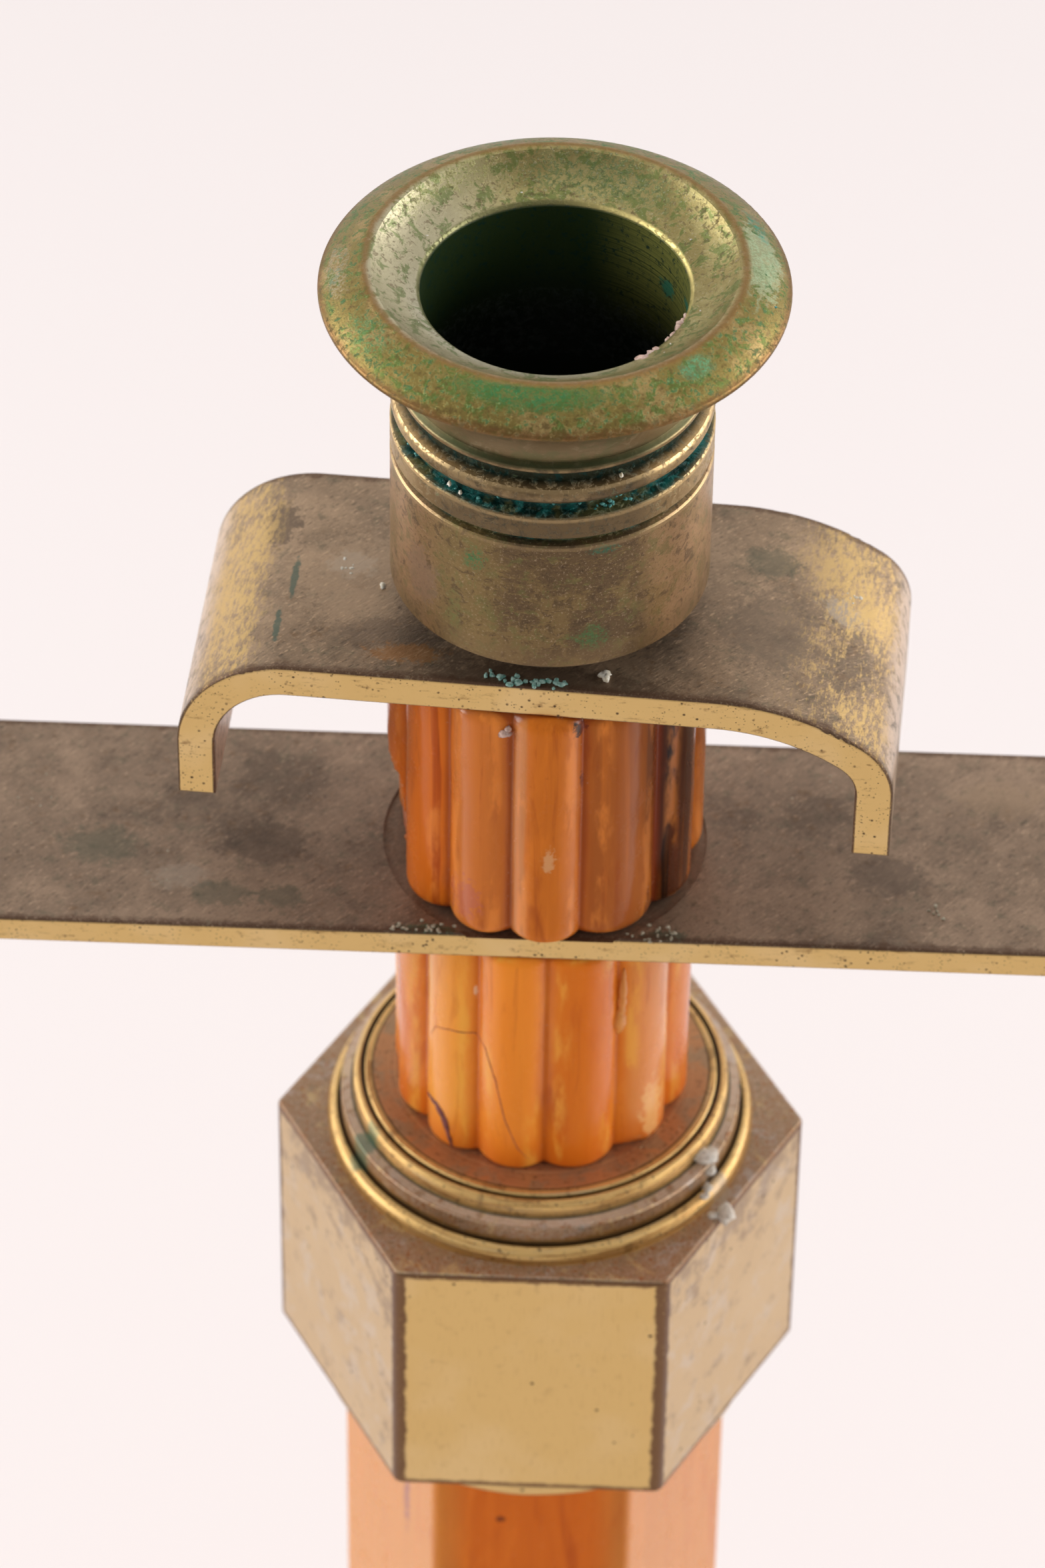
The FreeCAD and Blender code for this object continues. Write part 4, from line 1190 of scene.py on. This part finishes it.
def soil_bar():
    """Grit gathered at the upper bead's foot, and a little more along the bar."""
    grains = Scraps(33)
    at_bead = ((-12.1, -12.0), (-9.8, -12.1), (-8.4, -12.2), (10.0, -11.4), (11.2, -11.7),
               (8.6, -12.2), (34.5, -8.0))
    grains.scatter([Vector((x, y, BAR_TOP + 0.05)) for x, y in at_bead], 0.35, 0.5, 7, 0.5)
    along_bar = ((-31.5, -6.5), (-45.0, 3.0), (52.0, 4.0), (-22.0, 8.0), (24.0, 9.0))
    grains.scatter([Vector((x, y, BAR_TOP)) for x, y in along_bar], 0.2, 1.6, 7, 0.4)
    grains.build("bar_grit", grit, "arms", "cross_bar")


def soil_upper_bead():
    """A lump of wax near the top, left of the front lobe."""
    lump = Scraps(36)
    places = [point for point, _ in upper_bead.path(((-14.5, 24.6), (-13.0, 23.6)), 2)]
    lump.scatter(places, 0.9, 0.2, 2, 0.9)
    lump.build("upper_bead_wax", pink_wax, "upper_bead", "upper_bead")


def soil_collar():
    """Wax run down the collar's steps at the right."""
    run = Scraps(34)
    for azimuth, radius, out, size in (
            (59, 17.2, 4.1, 2.2), (61.5, 17.7, 3.8, 1.9), (59, 18.1, 2.8, 1.4),
            (56, 18.6, 1.5, 1.2), (53, 19.0, 1.5, 0.9), (55, 21.0, 0.0, 2.0),
            (52.5, 20.3, 0.0, 1.1)):
        run.lump(around(azimuth, radius, HEX_TOP + out), size, 0.3)
    run.build("collar_wax", clear_wax, "stand", "hex_collar")


def vein_lower_bead():
    """A dark hooked vein, a thin arched one, and a drip of resin in a valley."""
    hook_path = ((-52, 4.3), (-47, 4.8), (-42, 4.8), (-38.5, 3.7), (-36.5, 1.8), (-34.5, 0.3))
    hook = Scraps(35)
    hook.strand(lower_bead.path(hook_path), 0.75, 0.1)
    hook.build("lower_bead_hook_vein", tar, "lower_bead", "lower_bead")

    arch_path = ((-47, 12.6), (-43, 14.6), (-36, 15.3), (-27, 15.4), (-21, 14.4), (-16, 11.0),
                 (-12, 6.4), (-7, 3.0), (-2, 1.2))
    arch = Scraps(38)
    arch.strand(lower_bead.path(arch_path), 0.17, 0.045)
    arch.build("lower_bead_arch_vein", rust_vein, "lower_bead", "lower_bead")

    honey = resin("honey_resin", 12.0, (0.9, 0.4, 0.12), (0.74, 0.27, 0.06), (0.5, 0.14, 0.03))
    run_path = ((36.2, 23.0), (36.0, 20.0), (35.6, 17.6), (35.2, 15.4))
    bulb_path = ((35.4, 18.2), (35.0, 16.4), (34.8, 14.8))
    drip = Scraps(37)
    drip.strand(lower_bead.path(run_path), 0.9, 0.42)
    drip.strand(lower_bead.path(bulb_path), 1.5, 0.5)
    drip.build("lower_bead_drip", honey, "lower_bead", "lower_bead")


for side, turn, seed in CUPS:
    soil_cup(side, turn, seed)
soil_strap()
soil_bar()
soil_upper_bead()
soil_collar()
vein_lower_bead()


# -------- stage, light and camera

PAPER = (0.955, 0.885, 0.875)


def make_floor():
    mesh = bpy.data.meshes.new("studio_floor")
    reach = 8.0
    outline = ((-reach, -reach, 0), (reach, -reach, 0), (reach, reach, 0), (-reach, reach, 0))
    mesh.from_pydata(outline, [], [(0, 1, 2, 3)])
    floor = bpy.data.objects.new("studio_floor", mesh)
    bpy.context.scene.collection.objects.link(floor)
    s = Paint("floor_paper")
    mesh.materials.append(s.finish(Base_Color=(0.74, 0.685, 0.675), Roughness=0.9,
                                   Specular_IOR_Level=0.1,
                                   Normal=s.bump(s.noise(0.5) * 0.02, 0.2)))


def soft_box(name, place, target, width, height, power):
    light = bpy.data.lights.new(name, "AREA")
    light.shape = "RECTANGLE"
    light.size, light.size_y = width, height
    light.energy = power
    box = bpy.data.objects.new(name, light)
    bpy.context.scene.collection.objects.link(box)
    box.location = place
    box.rotation_euler = (Vector(target) - Vector(place)).to_track_quat("-Z", "Y").to_euler()
    box.visible_camera = False


def make_world():
    """A white sweep: brightest low down behind the object, dimmer overhead and in front. The
    camera sees it as plain paper."""
    world = bpy.data.worlds.new("studio")
    bpy.context.scene.world = world
    world.use_nodes = True
    s = Shader(world.node_tree)
    output = s.node("ShaderNodeOutputWorld")
    coordinates = s.node("ShaderNodeTexCoord")
    x, y, z = s.split(coordinates.outputs["Generated"])
    glow = s.step(z, 0.85, 0.05) * s.step(y, -0.75, 0.25)
    seen = s.node("ShaderNodeBackground")
    s.feed(seen.inputs["Color"], PAPER)
    lighting = s.node("ShaderNodeBackground")
    s.feed(lighting.inputs["Color"], (1.0, 0.975, 0.97))
    s.feed(lighting.inputs["Strength"], 0.46 + glow * 0.95)
    choose = s.node("ShaderNodeMixShader")
    path = s.node("ShaderNodeLightPath")
    s.feed(choose.inputs[0], path.outputs["Is Camera Ray"])
    s.feed(choose.inputs[1], lighting.outputs[0])
    s.feed(choose.inputs[2], seen.outputs[0])
    s.feed(output.inputs[0], choose.outputs[0])


def make_camera():
    """A long lens from the front, high up, close in on the top of the candelabrum."""
    azimuth, elevation, roll = (math.radians(a) for a in (1.71, 43.3, 0.85))
    distance = 0.5811  # metres
    aim = Vector((-2.04, -0.06, STRAP_TOP - 22.9)) * MM
    back = Vector((math.sin(azimuth) * math.cos(elevation),
                   -math.cos(azimuth) * math.cos(elevation), math.sin(elevation)))
    right = Vector((math.cos(azimuth), math.sin(azimuth), 0.0))
    up = back.cross(right)
    tilted_right = right * math.cos(roll) + up * math.sin(roll)
    tilted_up = up * math.cos(roll) - right * math.sin(roll)
    lens = bpy.data.cameras.new("camera")
    lens.sensor_width = 36.0
    lens.lens = 153.3
    lens.clip_start = 0.01
    lens.clip_end = 100.0
    camera = bpy.data.objects.new("camera", lens)
    bpy.context.scene.collection.objects.link(camera)
    turn = Matrix((tilted_right, tilted_up, back)).transposed().to_4x4()
    camera.matrix_world = Matrix.Translation(aim + back * distance) @ turn
    focus = bpy.data.objects.new("focus_point", None)
    bpy.context.scene.collection.objects.link(focus)
    focus.location = Vector((0.0, low("centre_candle_cup").y + 5.0, STRAP_TOP + 14.0)) * MM
    lens.dof.use_dof = True
    lens.dof.focus_object = focus
    lens.dof.aperture_fstop = 40.0
    bpy.context.scene.camera = camera


make_floor()
make_world()
soft_box("left_box", (-1.05, 0.1, 0.5), (0, 0, 0.24), 0.9, 0.7, 11.0)
soft_box("right_box", (1.05, 0.15, 0.5), (0, 0, 0.24), 0.9, 0.7, 11.0)
soft_box("top_box", (0.0, 0.3, 1.6), (0, 0, 0.2), 1.6, 1.2, 5.0)
make_camera()
bpy.context.scene.view_settings.view_transform = "Standard"
